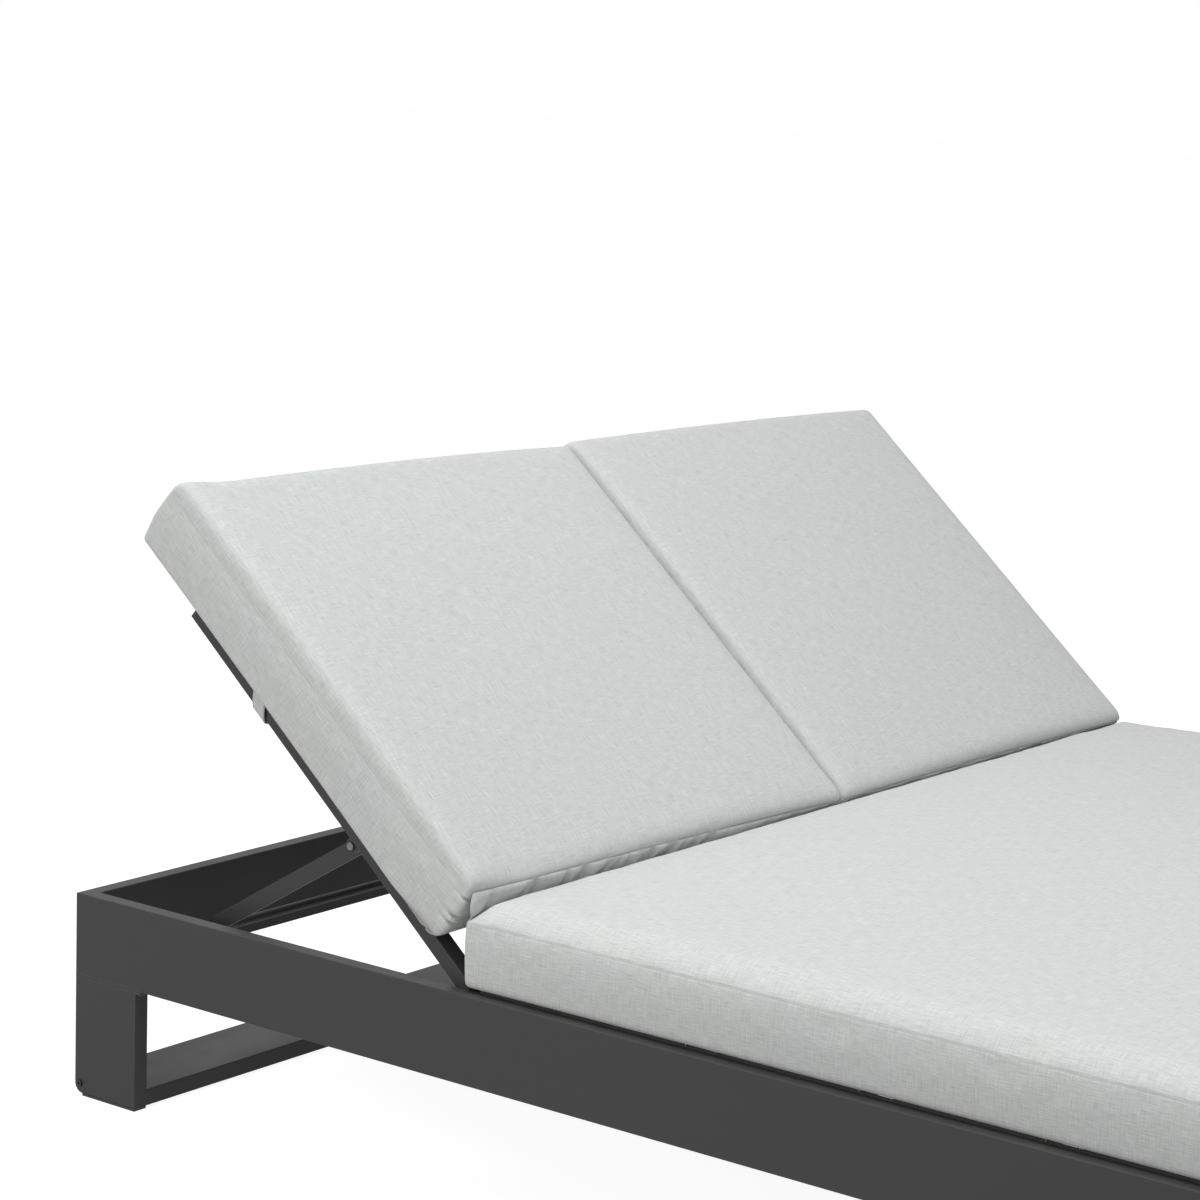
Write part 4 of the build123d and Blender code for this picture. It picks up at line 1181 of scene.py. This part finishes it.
    def swell(self) -> np.ndarray:
        """Lets the cloth fill out and pucker beside its seams, in a cloth simulation.

        Returns:
            How far each point of the cushion's grid moves, no more than the cap.
        """
        grid = PanelGrid(*self.sizes, self.trial_boxing_cell, self.trial_arcs)
        points = self.shape(grid)
        faces, panels = grid.faces()
        trial = Piece.from_faces(self.name + "_trial", points,
                                 faces[panels != Panel.BASE.value], bpy.data.materials[0])
        shift = ClothTrial(self.pressure, self.surplus).run(trial, grid) - points
        shift[grid.base] = 0.0
        size = np.linalg.norm(shift, axis=1)
        LOG.info("%s swells by %.1f mm at most, %.2f mm on average", self.name,
                 size.max() / MM, size.mean() / MM)
        capped = self.swell_cap * np.tanh(size / self.swell_cap)
        shift *= (capped / np.maximum(size, 1e-9))[:, None]
        return self.grid.carried(shift, grid)

    def stitched(self) -> np.ndarray:
        """The numbers of the top points that the stitches run along."""
        loop = self.grid.loop(self.stitch_row)
        return self.grid.top[loop[:, 0], loop[:, 1]]

    def ditched(self, points: np.ndarray) -> np.ndarray:
        """Sinks the seam and its row of stitches into the cloth.

        Args:
            points: The cushion's points.

        Returns:
            The points with a ditch along the top seam.
        """
        rim = self.grid.boxing[:, -1]
        points[rim, :2] -= self.rim_outward(points[rim, :2]) * self.ditch
        row = self.stitched()
        inward = points[self.grid.top].reshape(-1, 3).mean(0) - points[row]
        inward[:, 2] = 0.0
        inward /= np.linalg.norm(inward, axis=1)[:, None]
        points[row, :2] += inward[:, :2] * self.stitch_ditch
        return points

    def build(self, material: Material) -> None:
        """Shapes, swells and seams the cushion in its cloth, and puts it in place."""
        faces, panels = self.grid.faces()
        points = self.shape(self.grid)
        points = points + self.swell()
        self.points = self.ditched(points)
        self.piece = Piece.from_faces(self.name, self.placed(self.points), faces, material)
        self.cloth_map(self.piece.data, panels)

    def dress(self, stitcher: Stitcher) -> Tuple[Object, Object]:
        """Sews the cushion and hands it to its body.

        Args:
            stitcher: Makes the stitches.

        Returns:
            The cushion and its stitches.
        """
        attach(self.piece, self.body)
        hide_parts(self.node)
        path = self.placed(self.points[self.stitched()])
        stitches = stitcher.run(self.name + "_stitches", path, self.body, Slot.FABRIC)
        LOG.info("%s: %d faces on %s", self.name, len(self.piece.data.polygons), self.body)
        return self.piece, stitches


@dataclass
class BackCushion(BoxedCushion):
    """A back's boxed cushion, whose ends are drawn in, slipped and leant on the frame."""

    seam_height: float = 84.0 * MM
    roll: float = 28.0 * MM
    edges: Edges = rolls((19, 2.6, 60), (17, 2.1, 60), (14, 3.0, 30), (16, 2.4, 34))
    plan_radius: float = 6.0 * MM
    stretch: float = 0.0
    toe_radius: float = 26.0 * MM
    cell: float = 9.0 * MM
    boxing_cell: float = 3.8 * MM
    trial_boxing_cell: float = 10.0 * MM
    surplus: float = 0.003
    pressure: float = 1.0
    ditch: float = 0.2 * MM
    stitch_ditch: float = 0.1 * MM
    give: float = 0.973
    end_run: float = 180.0 * MM
    head_offset: float = 0.0
    head_arch: float = 4.0 * MM
    head_draw: float = 14.5 * MM
    head_power: float = 2.8
    base_draw: float = 0.45
    seam_draw: float = 0.55
    corner_reach: float = 7.5 * MM
    corner_span: float = 0.11
    toe_places: Tuple[float, ...] = (0.0, 0.12, 1.0)
    toe_lean: Tuple[float, ...] = mm(-4.4, 3.5, 13.4)
    toe_bulge: Tuple[float, ...] = mm(5.0, 2.0)
    toe_seam: Tuple[float, ...] = mm(13.0, 21.0, 13.0)
    tucks: Tuple[Tuple[float, float], ...] = ()
    tuck_rows: Tuple[float, ...] = mm(-2, -1, 0, 1, 2)
    tuck_run: float = 6 * MM
    tuck_depth: float = 7 * MM
    tuck_height: float = 1.5 * MM
    tuck_slip: float = 0.7

    def __post_init__(self) -> None:
        """Adds rows to the boxing where its corner is tucked in."""
        creased = tuple(level + row for level, _ in self.tucks for row in self.tuck_rows)
        self.base_rows = self.base_rows + creased
        super().__post_init__()

    def footprint(self) -> Tuple[np.ndarray, np.ndarray]:
        """The CAD cushion's lowest and highest corner once the back is laid flat."""
        points = HINGE.laid_flat(node_points(self.node))
        return points.min(0), points.max(0)

    def placed(self, points: np.ndarray) -> np.ndarray:
        """Puts flat points where the cushion is at rest, on the raised back."""
        return HINGE.raised(points + self.low)

    def settled(self, points: np.ndarray) -> np.ndarray:
        """Draws the head end in, arches it, leans the lower end and tucks its corner in.

        Args:
            points: The smooth cushion's points, from its own corner.

        Returns:
            The same points, moved.
        """
        grid = self.grid
        x, y, z = points.T.copy()
        across = np.clip(y / grid.width, 0.0, 1.0)
        height = np.clip(z / grid.height, 0.0, 1.2)
        over = np.clip((z - grid.height) / grid.roll, 0.0, 1.0)
        head = (1.0 - np.clip(x / self.end_run, 0.0, 1.0)) ** 2
        toe = (1.0 - np.clip((grid.length - x) / self.end_run, 0.0, 1.0)) ** 2
        cornered = (1.0 - eased(across / self.corner_span)) * np.minimum(height * 2.0, 1.0)
        drawn = self.head_offset + self.head_draw * across ** self.head_power
        drawn = (drawn - self.corner_reach * cornered) * head
        lean = np.interp(across, self.toe_places, self.toe_lean)
        bulge = np.interp(across, (0.0, 1.0), self.toe_bulge)
        lifted = np.interp(across, self.toe_places, self.toe_seam)
        leant = lean * height + bulge * 4.0 * height * np.maximum(1.0 - height, 0.0)
        arched = self.head_arch * np.sin(math.pi * across) * height
        raised = toe * lifted * np.minimum(height, 1.0) * (1.0 - over)
        points[:, 0] = x + drawn * (self.base_draw + self.seam_draw * height) + toe * leant
        points[:, 2] = z + raised + head ** 3 * arched
        for level, depth in self.tucks:
            near = np.exp(-np.abs(x - grid.length) / self.tuck_run)
            near = near * np.exp(-np.maximum(y, 0.0) / self.tuck_depth)
            dent = depth * near * np.exp(-((z - level) / self.tuck_height) ** 2)
            points[:, 1] += dent
            points[:, 0] -= self.tuck_slip * dent
        return points

    def dress(self, stitcher: Stitcher) -> Tuple[Object, Object]:
        """Sews the cushion and hands it to its body, with a mesh of its own for each piece.

        Args:
            stitcher: Makes the stitches.

        Returns:
            The cushion and its stitches.
        """
        pieces = super().dress(stitcher)
        anchor = tuple(HINGE.raised(self.low)[0])
        for piece in pieces:
            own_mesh(piece)
        return pieces


@dataclass
class HingeFlap:
    """The puckered strip sewn to a back's lower seam, lapped on the seat and tucked behind."""

    side: Side
    cushion: BackCushion
    seat: BoxedCushion
    drop: float = 24.0 * MM
    drop_lean: float = 0.8 * MM
    clearance: float = 1.4 * MM
    lap_ease: float = 0.4
    least_fall: float = 3.0 * MM
    lap_row: int = 5
    margin: float = 5.0 * MM
    cell: float = 3.6 * MM
    steps: int = 18
    roundings: int = 4
    over: Tuple[float, float] = (2 * MM, 0.12)
    landing: Tuple[float, float, float] = (0.1, 1 * MM, 0.22)
    folds: int = 32
    slants: Tuple[float, float] = (-75.0, 10.0)
    spreads: Tuple[float, float] = (3.5, 11.0)
    depths: Tuple[float, float] = (0.4, 1.0)
    deepest: float = 1.3
    shown: float = 0.55
    shown_share: float = 0.85
    hidden_share: float = 0.15
    fold_depth: float = 6.5 * MM
    flat_depth: float = 2.0 * MM
    depth_gain: float = 0.4
    end_round: float = 9 * MM
    lobe: float = 4.5 * MM
    lobe_down: float = 0.6
    set_back: float = 12.0 * MM
    thickness: float = 1.1 * MM
    surplus: float = 1.12
    seed: int = 11

    def seam(self, count: int) -> np.ndarray:
        """Points of the back cushion's lower seam, from near to far."""
        grid = self.cushion.grid
        edge = self.cushion.placed(self.cushion.points[grid.top[-1, :]])
        wanted = np.linspace(edge[0, 1] + self.margin, edge[-1, 1] - self.margin, count)
        return np.stack([np.interp(wanted, edge[:, 1], column) for column in edge.T], -1)

    def hugged(self, seam: np.ndarray) -> np.ndarray:
        """The way down over the seat's head roll, just clear of it.

        Args:
            seam: The points that the strip hangs from.

        Returns:
            For each of them the same number of points, down to the seat's boxing.
        """
        rows = []
        for row in range(self.lap_row, -1, -1):
            line = self.seat.placed(self.seat.points[self.seat.grid.top[row, :]])
            x, z = (np.interp(seam[:, 1], line[:, 1], line[:, axis]) for axis in (0, 2))
            share = row / self.lap_row
            z = np.minimum(z + self.clearance * share, seam[:, 2] - self.least_fall)
            x = x - self.clearance * (1.0 - self.lap_ease * share)
            rows.append(np.stack([x, seam[:, 1], z], -1))
        rows.append(rows[-1] - np.array([self.drop_lean, 0.0, self.drop]))
        return np.stack(rows, 1)

    def pleats(self, width: float, run: np.ndarray, down: np.ndarray) -> np.ndarray:
        """Uneven slanting folds, from 0 to the deepest.

        Args:
            width: The strip's width.
            run: Places along the strip.
            down: Shares down the strip.

        Returns:
            The folds' depth at each point.
        """
        rng = np.random.default_rng(self.seed + self.side.value)
        total = np.zeros((run.shape[0], down.shape[1]))
        for _ in range(self.folds):
            centre, slant = rng.uniform(0.0, width), rng.uniform(*self.slants) * MM
            spread, depth = rng.uniform(*self.spreads) * MM, rng.uniform(*self.depths)
            total += depth * np.exp(-((run - centre - slant * down) / spread) ** 2)
        shown = np.sin(math.pi * np.clip(down / self.shown, 0.0, 1.0)) ** 0.5
        fading = self.shown_share * shown + self.hidden_share * np.sin(math.pi * down)
        return np.minimum(total, self.deepest) * fading

    def draped(self, width: float, count: int) -> np.ndarray:
        """The strip's points, from the seam down to its tucked edge.

        Args:
            width: The strip's width.
            count: How many places it has along its width.

        Returns:
            A grid of points, with a row for each place along the strip.
        """
        seam = self.seam(count)
        hugging = self.hugged(seam)
        lap = hugging[:, 0]
        fall = seam[:, 2] - lap[:, 2]
        blank = np.zeros_like(fall)
        out, sag = self.over
        upper = seam + np.stack([out + sag * fall, blank, -sag * fall], -1)
        ahead, rise, rise_share = self.landing
        lower = lap + np.stack([ahead * fall, blank, rise + rise_share * fall], -1)
        paths = np.concatenate([seam[:, None], upper[:, None], lower[:, None], hugging], 1)
        lines = np.array([resampled(rounded(path, self.roundings), self.steps) for path in paths])
        run = np.linspace(0.0, width, count)[:, None]
        down = np.linspace(0.0, 1.0, self.steps)[None, :]
        ends = np.clip(np.minimum(run, width - run) / self.end_round, 0.0, 1.0)
        closed = np.sqrt(1.0 - (1.0 - ends) ** 2)
        depth = np.minimum(self.fold_depth, self.flat_depth + self.depth_gain * fall)[:, None]
        jut = np.maximum(lines[:, :, 0] - seam[:, 0:1], 0.0)
        folded = depth * self.pleats(width, run, down)
        lobe = self.lobe * (1.0 - closed)
        lobe = lobe * np.sin(math.pi * np.minimum(down / self.lobe_down, 1.0))
        points = lines.copy()
        points[:, :, 0] = lines[:, :, 0] - jut * (1.0 - closed) - folded
        points[:, :, 1] += np.where(run < width / 2, -lobe, lobe)
        return points

    def build(self, material: Material) -> None:
        """Hangs the strip from the seam in its cloth, and hands it to its body."""
        width = self.cushion.grid.width - 2 * self.margin
        points = self.draped(width, round(width / self.cell))
        numbers = np.arange(points[:, :, 0].size).reshape(points.shape[:2])
        flap = Piece.from_faces("hinge_flap_cover_" + self.side.word, points.reshape(-1, 3),
                                quads(numbers, flipped=True), material)
        along, across = unrolled(points)
        flat = np.stack([along.mean(1)[:, None] + 0 * along, across], -1).reshape(-1, 2)
        Piece.lay_cloth(flap.data, flat[Piece.corners(flap.data)])
        Piece.walled(flap, self.thickness, -1.0)
        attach(flap, "back_pad_" + self.side.word)
        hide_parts("hinge_flap_" + self.side.word)
        toe = self.cushion.low + [self.cushion.grid.length - self.set_back, 0.0, 0.0]
        tuple(HINGE.raised(toe)[0])
        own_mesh(flap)


@dataclass
class Straps:
    """The webbing loops on the back tubes and the ties under the seat cushion."""

    material: Material
    thickness: float = 1.6 * MM
    roundings: int = 3
    ply: int = 6
    narrowing: float = 0.88
    shift: float = 3 * MM
    sag: float = 1.6 * MM
    inset: float = 0.8 * MM
    shoulder: float = 9 * MM
    belly: float = 4 * MM
    sewn: Tuple[float, float] = mm(787.0, 3.5)
    turned: Tuple[float, float] = mm(784.0, 0.5)
    lying: float = 765.0 * MM
    tuck: float = 8 * MM
    apart: float = 40 * MM

    def ribbons(self, name: str, lines: Sequence[Tuple[np.ndarray, np.ndarray]]) -> Object:
        """Sweeps flat webbing along lines, as one mesh.

        Args:
            name: The piece's name.
            lines: Pairs of a path of points and the vector across the webbing.

        Returns:
            The webbing's object.
        """
        share = np.linspace(-0.5, 0.5, self.ply)[None, :, None]
        strips = [rounded(path, self.roundings)[:, None, :] + share * across
                  for path, across in lines]
        points = np.concatenate([strip.reshape(-1, 3) for strip in strips])
        numbers = np.arange(len(points)).reshape(-1, self.ply)
        rows = np.cumsum([len(strip) for strip in strips])[:-1]
        faces = [quads(part, flipped=True) for part in np.split(numbers, rows)]
        piece = Piece.from_faces(name, points, np.concatenate(faces), self.material)
        flat = np.concatenate([np.stack(unrolled(strip), -1).reshape(-1, 2) for strip in strips])
        Piece.lay_cloth(piece.data, flat[Piece.corners(piece.data)])
        return Piece.walled(piece, self.thickness, 0.0)

    def dress_back(self, side: Side) -> None:
        """Loops one strap round the outer side tube of one half's back."""
        node = "back_strap_" + side.word
        points = HINGE.laid_flat(node_points(node))
        low, high = points.min(0), points.max(0)
        top = points[points[:, 2] > high[2] - 1 * MM]
        head, foot = top[:, 0].min(), top[:, 0].max()
        slope = (low[2] - high[2]) / (high[0] - foot)
        centre = (foot + head) / 2 - self.shift
        wide = (foot - head) * self.narrowing
        half = [(low[1], -1), (high[1], 1)]
        section = []
        for (y, sign), order in zip(half, (1, -1)):
            leg = [(y - sign * self.inset, high[2] + 1 * MM),
                   (y + sign * self.sag, high[2] - self.shoulder),
                   (y + sign * self.sag * 0.5, low[2] + self.inset),
                   (y - sign * self.belly, low[2] - self.sag)]
            section += leg[::order]
        path = HINGE.raised([(centre + (z - high[2]) / slope, y, z) for y, z in section])
        across = HINGE.raised([[wide, 0, 0], [0, 0, 0]])
        strap = self.ribbons("back_strap_loop_" + side.word, [(path, across[0] - across[1])])
        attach(strap, "backrest_" + side.word)
        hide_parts(node)

    def dress_seat(self) -> None:
        """Ties the seat cushion down with one strap at each CAD strap's place."""
        points = node_points("seat_straps")
        xs = np.unique(np.round(points[:, 0], 4))
        groups = np.split(xs, np.nonzero(np.diff(xs) > self.apart)[0] + 1)
        inner, foot = np.abs(points[:, 1]).min() + 1 * MM, points[:, 2].min()
        top = points[:, 2].max() - self.thickness / 2
        section = [(self.sewn[0], top + self.sewn[1]), (self.turned[0], top - self.turned[1]),
                   (self.lying, top), (inner, top), (inner, top - self.tuck), (inner, foot)]
        lines = []
        for group in groups:
            middle, wide = (group[0] + group[-1]) / 2, group[-1] - group[0]
            for side in Side:
                path = np.array([(middle, side.value * y, z) for y, z in section])
                lines.append((path, np.array([wide, 0.0, 0.0]) * side.value))
        ties = self.ribbons("seat_ties", lines)
        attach(ties, "base")
        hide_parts("seat_straps")
        LOG.info("seat_ties: %d straps", len(lines))


@dataclass
class WeldFills:
    """The ground-flush weld round each post's head, and the fillet in each window corner."""

    material: Material
    proud: float = 0.06 * MM
    sunk: float = 0.02 * MM
    reach: float = 1.8 * MM
    feather: float = 1.6 * MM
    edge: float = 1.5 * MM
    edge_steps: int = 6
    depth: float = 1.5 * MM
    fillet: float = 7.0 * MM
    inset: float = 0.4 * MM
    arc_steps: int = 8

    def band(self, low: np.ndarray, high: np.ndarray, end: int) -> Tuple[np.ndarray, list]:
        """A strip across a post's two side faces and round its outer end.

        Args:
            low: The post's lowest corner.
            high: The post's highest corner.
            end: The sign of X towards the lounger's end.

        Returns:
            The strip's points and faces, as one closed tube of a flat section.
        """
        outer, inner = (high[0], low[0]) if end > 0 else (low[0], high[0])
        angles = np.linspace(0.0, math.pi / 2, self.edge_steps)
        turn = [(math.sin(a), math.cos(a)) for a in angles]
        corners = [(inner, low[1], (0.0, -1.0))]
        for y, sign in ((low[1], -1.0), (high[1], 1.0)):
            for along, across in turn if sign < 0 else turn[::-1]:
                out = (end * along, sign * across)
                corners.append((outer - end * self.edge + out[0] * self.edge,
                                y - sign * self.edge + out[1] * self.edge, out))
        corners.append((inner, high[1], (0.0, 1.0)))
        section = [(-self.reach - self.feather, -self.sunk), (-self.reach, self.proud),
                   (self.reach, self.proud), (self.reach + self.feather, -self.sunk),
                   (self.reach * 0.5, -self.depth), (-self.reach * 0.5, -self.depth)]
        points = [(x + out[0] * lift, y + out[1] * lift, high[2] + rise)
                  for x, y, out in corners for rise, lift in section]
        size = len(section)
        rings = np.arange(len(points)).reshape(-1, size)
        around = np.hstack([rings, rings[:, :1]])
        faces = [tuple(face) for face in quads(around, flipped=True)]
        faces += [tuple(rings[0]), tuple(rings[-1])[::-1]]
        return np.array(points), faces

    def corner(self, low: np.ndarray, high: np.ndarray, end: int) -> Tuple[np.ndarray, list]:
        """The fillet between a post's window side and the rail above it.

        Args:
            low: The post's lowest corner.
            high: The post's highest corner.
            end: The sign of X towards the lounger's end.

        Returns:
            The fillet's points and faces, as one closed prism.
        """
        x0, z0 = low[0] if end > 0 else high[0], high[2]
        profile = [(x0 + end * MM, z0 + 1 * MM)]
        angles = np.linspace(0.0, math.pi / 2, self.arc_steps + 1)
        profile += [(x0 - end * self.fillet * (1 - math.sin(a)),
                     z0 - self.fillet * (1 - math.cos(a))) for a in angles]
        depths = (low[1] + self.inset, high[1] - self.inset)
        points = [(x, y, z) for y in depths for x, z in profile]
        size = len(profile)
        faces = [(i, (i + 1) % size, (i + 1) % size + size, i + size) for i in range(size)]
        faces += [tuple(range(size))[::-1], tuple(range(size, 2 * size))]
        return np.array(points), faces

    def build(self) -> None:
        """Makes every post's welds as one mesh."""
        points, faces, count = [], [], 0
        for node in sorted(n for n in frame["nodes"] if n.startswith("leg_post_")):
            low, high = node_box(node)
            end = 1 if "foot" in node else -1
            for made, sides in (self.band(low, high, end), self.corner(low, high, end)):
                points.append(made)
                faces += [tuple(i + count for i in side) for side in sides]
                count += len(made)
        welds = Piece.from_faces("post_welds", np.concatenate(points), faces, self.material,
                                 smooth=False)
        Piece.outward(welds)
        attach(welds, "base")
        LOG.info("post_welds: %d faces", len(welds.data.polygons))


@dataclass
class Studio:
    """Camera, soft light and a pale floor."""

    azimuth: float = 37.6
    pitch: float = 10.02
    roll: float = -2.02
    focal_pixels: float = 3408.67
    photo_pixels: float = 1200.0
    place: Point = (2.2513, -3.8928, 1.488)
    floor_reach: float = 30.0
    floor_plain: float = 0.5
    floor_faint: float = 0.3
    floor_glow: float = 0.92
    sky: Colour = (0.97, 0.985, 1.0)
    sky_strength: float = 0.24

    def camera(self) -> None:
        """Sets the camera at the photograph's viewing angle."""
        data = bpy.data.cameras.new("camera")
        data.sensor_width = 36.0
        data.lens = data.sensor_width * self.focal_pixels / self.photo_pixels
        data.clip_start, data.clip_end = 0.1, 60.0
        camera = Piece.linked("camera", data)
        turn, tip, lean = (math.radians(v) for v in (self.azimuth, self.pitch, self.roll))
        level = Vector((-math.sin(turn), math.cos(turn), 0.0)) * math.cos(tip)
        ahead = level + Vector((0.0, 0.0, -math.sin(tip)))
        right = ahead.cross(Vector((0.0, 0.0, 1.0))).normalized()
        down = ahead.cross(right)
        image_x = math.cos(lean) * right + math.sin(lean) * down
        image_y = -math.sin(lean) * right + math.cos(lean) * down
        turned = Matrix((image_x, -image_y, -ahead)).transposed()
        camera.matrix_world = Matrix.Translation(self.place) @ turned.to_4x4()
        bpy.context.scene.camera = camera

    @staticmethod
    def lamp(name: str, place: Point, target: Point, size: float, power: float,
             colour: Colour) -> None:
        """Adds a soft area lamp.

        Args:
            name: The lamp's name.
            place: Where it stands.
            target: What it looks at.
            size: Its width and height.
            power: Its power in watts.
            colour: Its colour.
        """
        data = bpy.data.lights.new(name, "AREA")
        data.size, data.energy, data.color = size, power, colour
        lamp = Piece.linked(name, data)
        lamp.location = place
        lamp.rotation_mode = "QUATERNION"
        lamp.rotation_quaternion = (Vector(target) - Vector(place)).to_track_quat("-Z", "Y")

    @staticmethod
    def two_faced(wiring: Wiring, kind: str, unseen: Node, seen: Node) -> None:
        """Ends a tree with one shader for light and another for the camera and for gloss.

        Args:
            wiring: The tree's wiring.
            kind: The output node's type name.
            unseen: The shader that lights the object.
            seen: The shader that shows.
        """
        rays = wiring.add("ShaderNodeLightPath").outputs
        shiny = wiring.plus(rays["Is Glossy Ray"], rays["Is Transmission Ray"])
        direct = wiring.maths("ADD", rays["Is Camera Ray"], shiny, clamp=True)
        keys = {0: direct, 1: unseen.outputs[0], 2: seen.outputs[0]}
        wiring.add(kind, {"Surface": wiring.add("ShaderNodeMixShader", keys).outputs[0]})

    def world(self) -> None:
        """Lights the object evenly, and shows white to the camera and in gloss."""
        world = bpy.data.worlds.new("studio")
        wiring = Wiring.emptied(world)
        lit = wiring.add("ShaderNodeBackground",
                         {"Color": opaque(self.sky), "Strength": self.sky_strength})
        shown = wiring.add("ShaderNodeBackground",
                           {"Color": opaque((1.0, 1.0, 1.0)), "Strength": 1.0})
        self.two_faced(wiring, "ShaderNodeOutputWorld", lit, shown)
        bpy.context.scene.world = world

    def floor(self) -> None:
        """Lays a pale floor that keeps a soft shadow."""
        material = bpy.data.materials.new("pale_floor")
        wiring = Wiring.emptied(material)
        plain, faint = (wiring.add("ShaderNodeBsdfDiffuse", {"Color": opaque((grey, grey, grey))})
                        for grey in (self.floor_plain, self.floor_faint))
        glow = wiring.add("ShaderNodeEmission",
                          {"Color": opaque((1.0, 1.0, 1.0)), "Strength": self.floor_glow})
        both = wiring.add("ShaderNodeAddShader", {0: faint.outputs[0], 1: glow.outputs[0]})
        self.two_faced(wiring, "ShaderNodeOutputMaterial", plain, both)
        signs = ((-1, -1, 0), (1, -1, 0), (1, 1, 0), (-1, 1, 0))
        corners = np.array(signs, float) * self.floor_reach
        floor = Piece.from_faces("studio_floor", corners, [(0, 1, 2, 3)], material, smooth=False)

    def build(self) -> None:
        """Makes the whole studio."""
        self.camera()
        self.world()
        self.lamp("overhead", (0.25, -0.8, 4.2), (0.0, 0.0, 0.3), 3.6, 144.0, (1.0, 1.0, 1.0))
        self.lamp("front", (-1.3, -4.3, 1.6), (-0.4, 0.0, 0.3), 2.4, 52.0, (1.0, 0.98, 0.95))
        self.floor()
        bpy.context.scene.view_settings.view_transform = "Standard"
        LOG.info("studio ready")


def main() -> None:
    """Builds and dresses the lounger, sub-assembly by sub-assembly."""
    logging.basicConfig(level=logging.INFO, format="%(name)s: %(message)s")
    Studio().build()
    materials = Materials()
    CadDressing(materials).dress()
    stitcher = Stitcher(materials.thread)
    seat = BoxedCushion("seat_cushion_cover", "seat_cushion", "base")
    seat.build(materials[Slot.FABRIC])
    seat.dress(stitcher)
    straps = Straps(materials[Slot.WEBBING])
    straps.dress_seat()
    WeldFills(materials[Slot.COAT]).build()
    near = BackCushion("back_cushion_cover_near", "back_cushion_near", "back_pad_near",
                       tucks=(mm(74, 9), mm(48, 15), mm(38, 12)))
    far = BackCushion("back_cushion_cover_far", "back_cushion_far", "back_pad_far",
                      head_offset=7 * MM, head_draw=12 * MM, head_power=2.2,
                      toe_lean=mm(14.4, 14.4, 14.4), toe_bulge=mm(2, 2), toe_seam=mm(13, 13, 11),
                      corner_reach=0.0, crown=7 * MM,
                      edges=rolls((19, 2.6, 60), (17, 2.1, 60), (14, 2.6, 34), (22, 2.0, 60)))
    for side, back in ((Side.NEAR, near), (Side.FAR, far)):
        back.build(materials[Slot.FABRIC])
        back.dress(stitcher)
        HingeFlap(side, back, seat).build(materials[Slot.FABRIC])
        straps.dress_back(side)


if __name__ == "__main__":
    main()
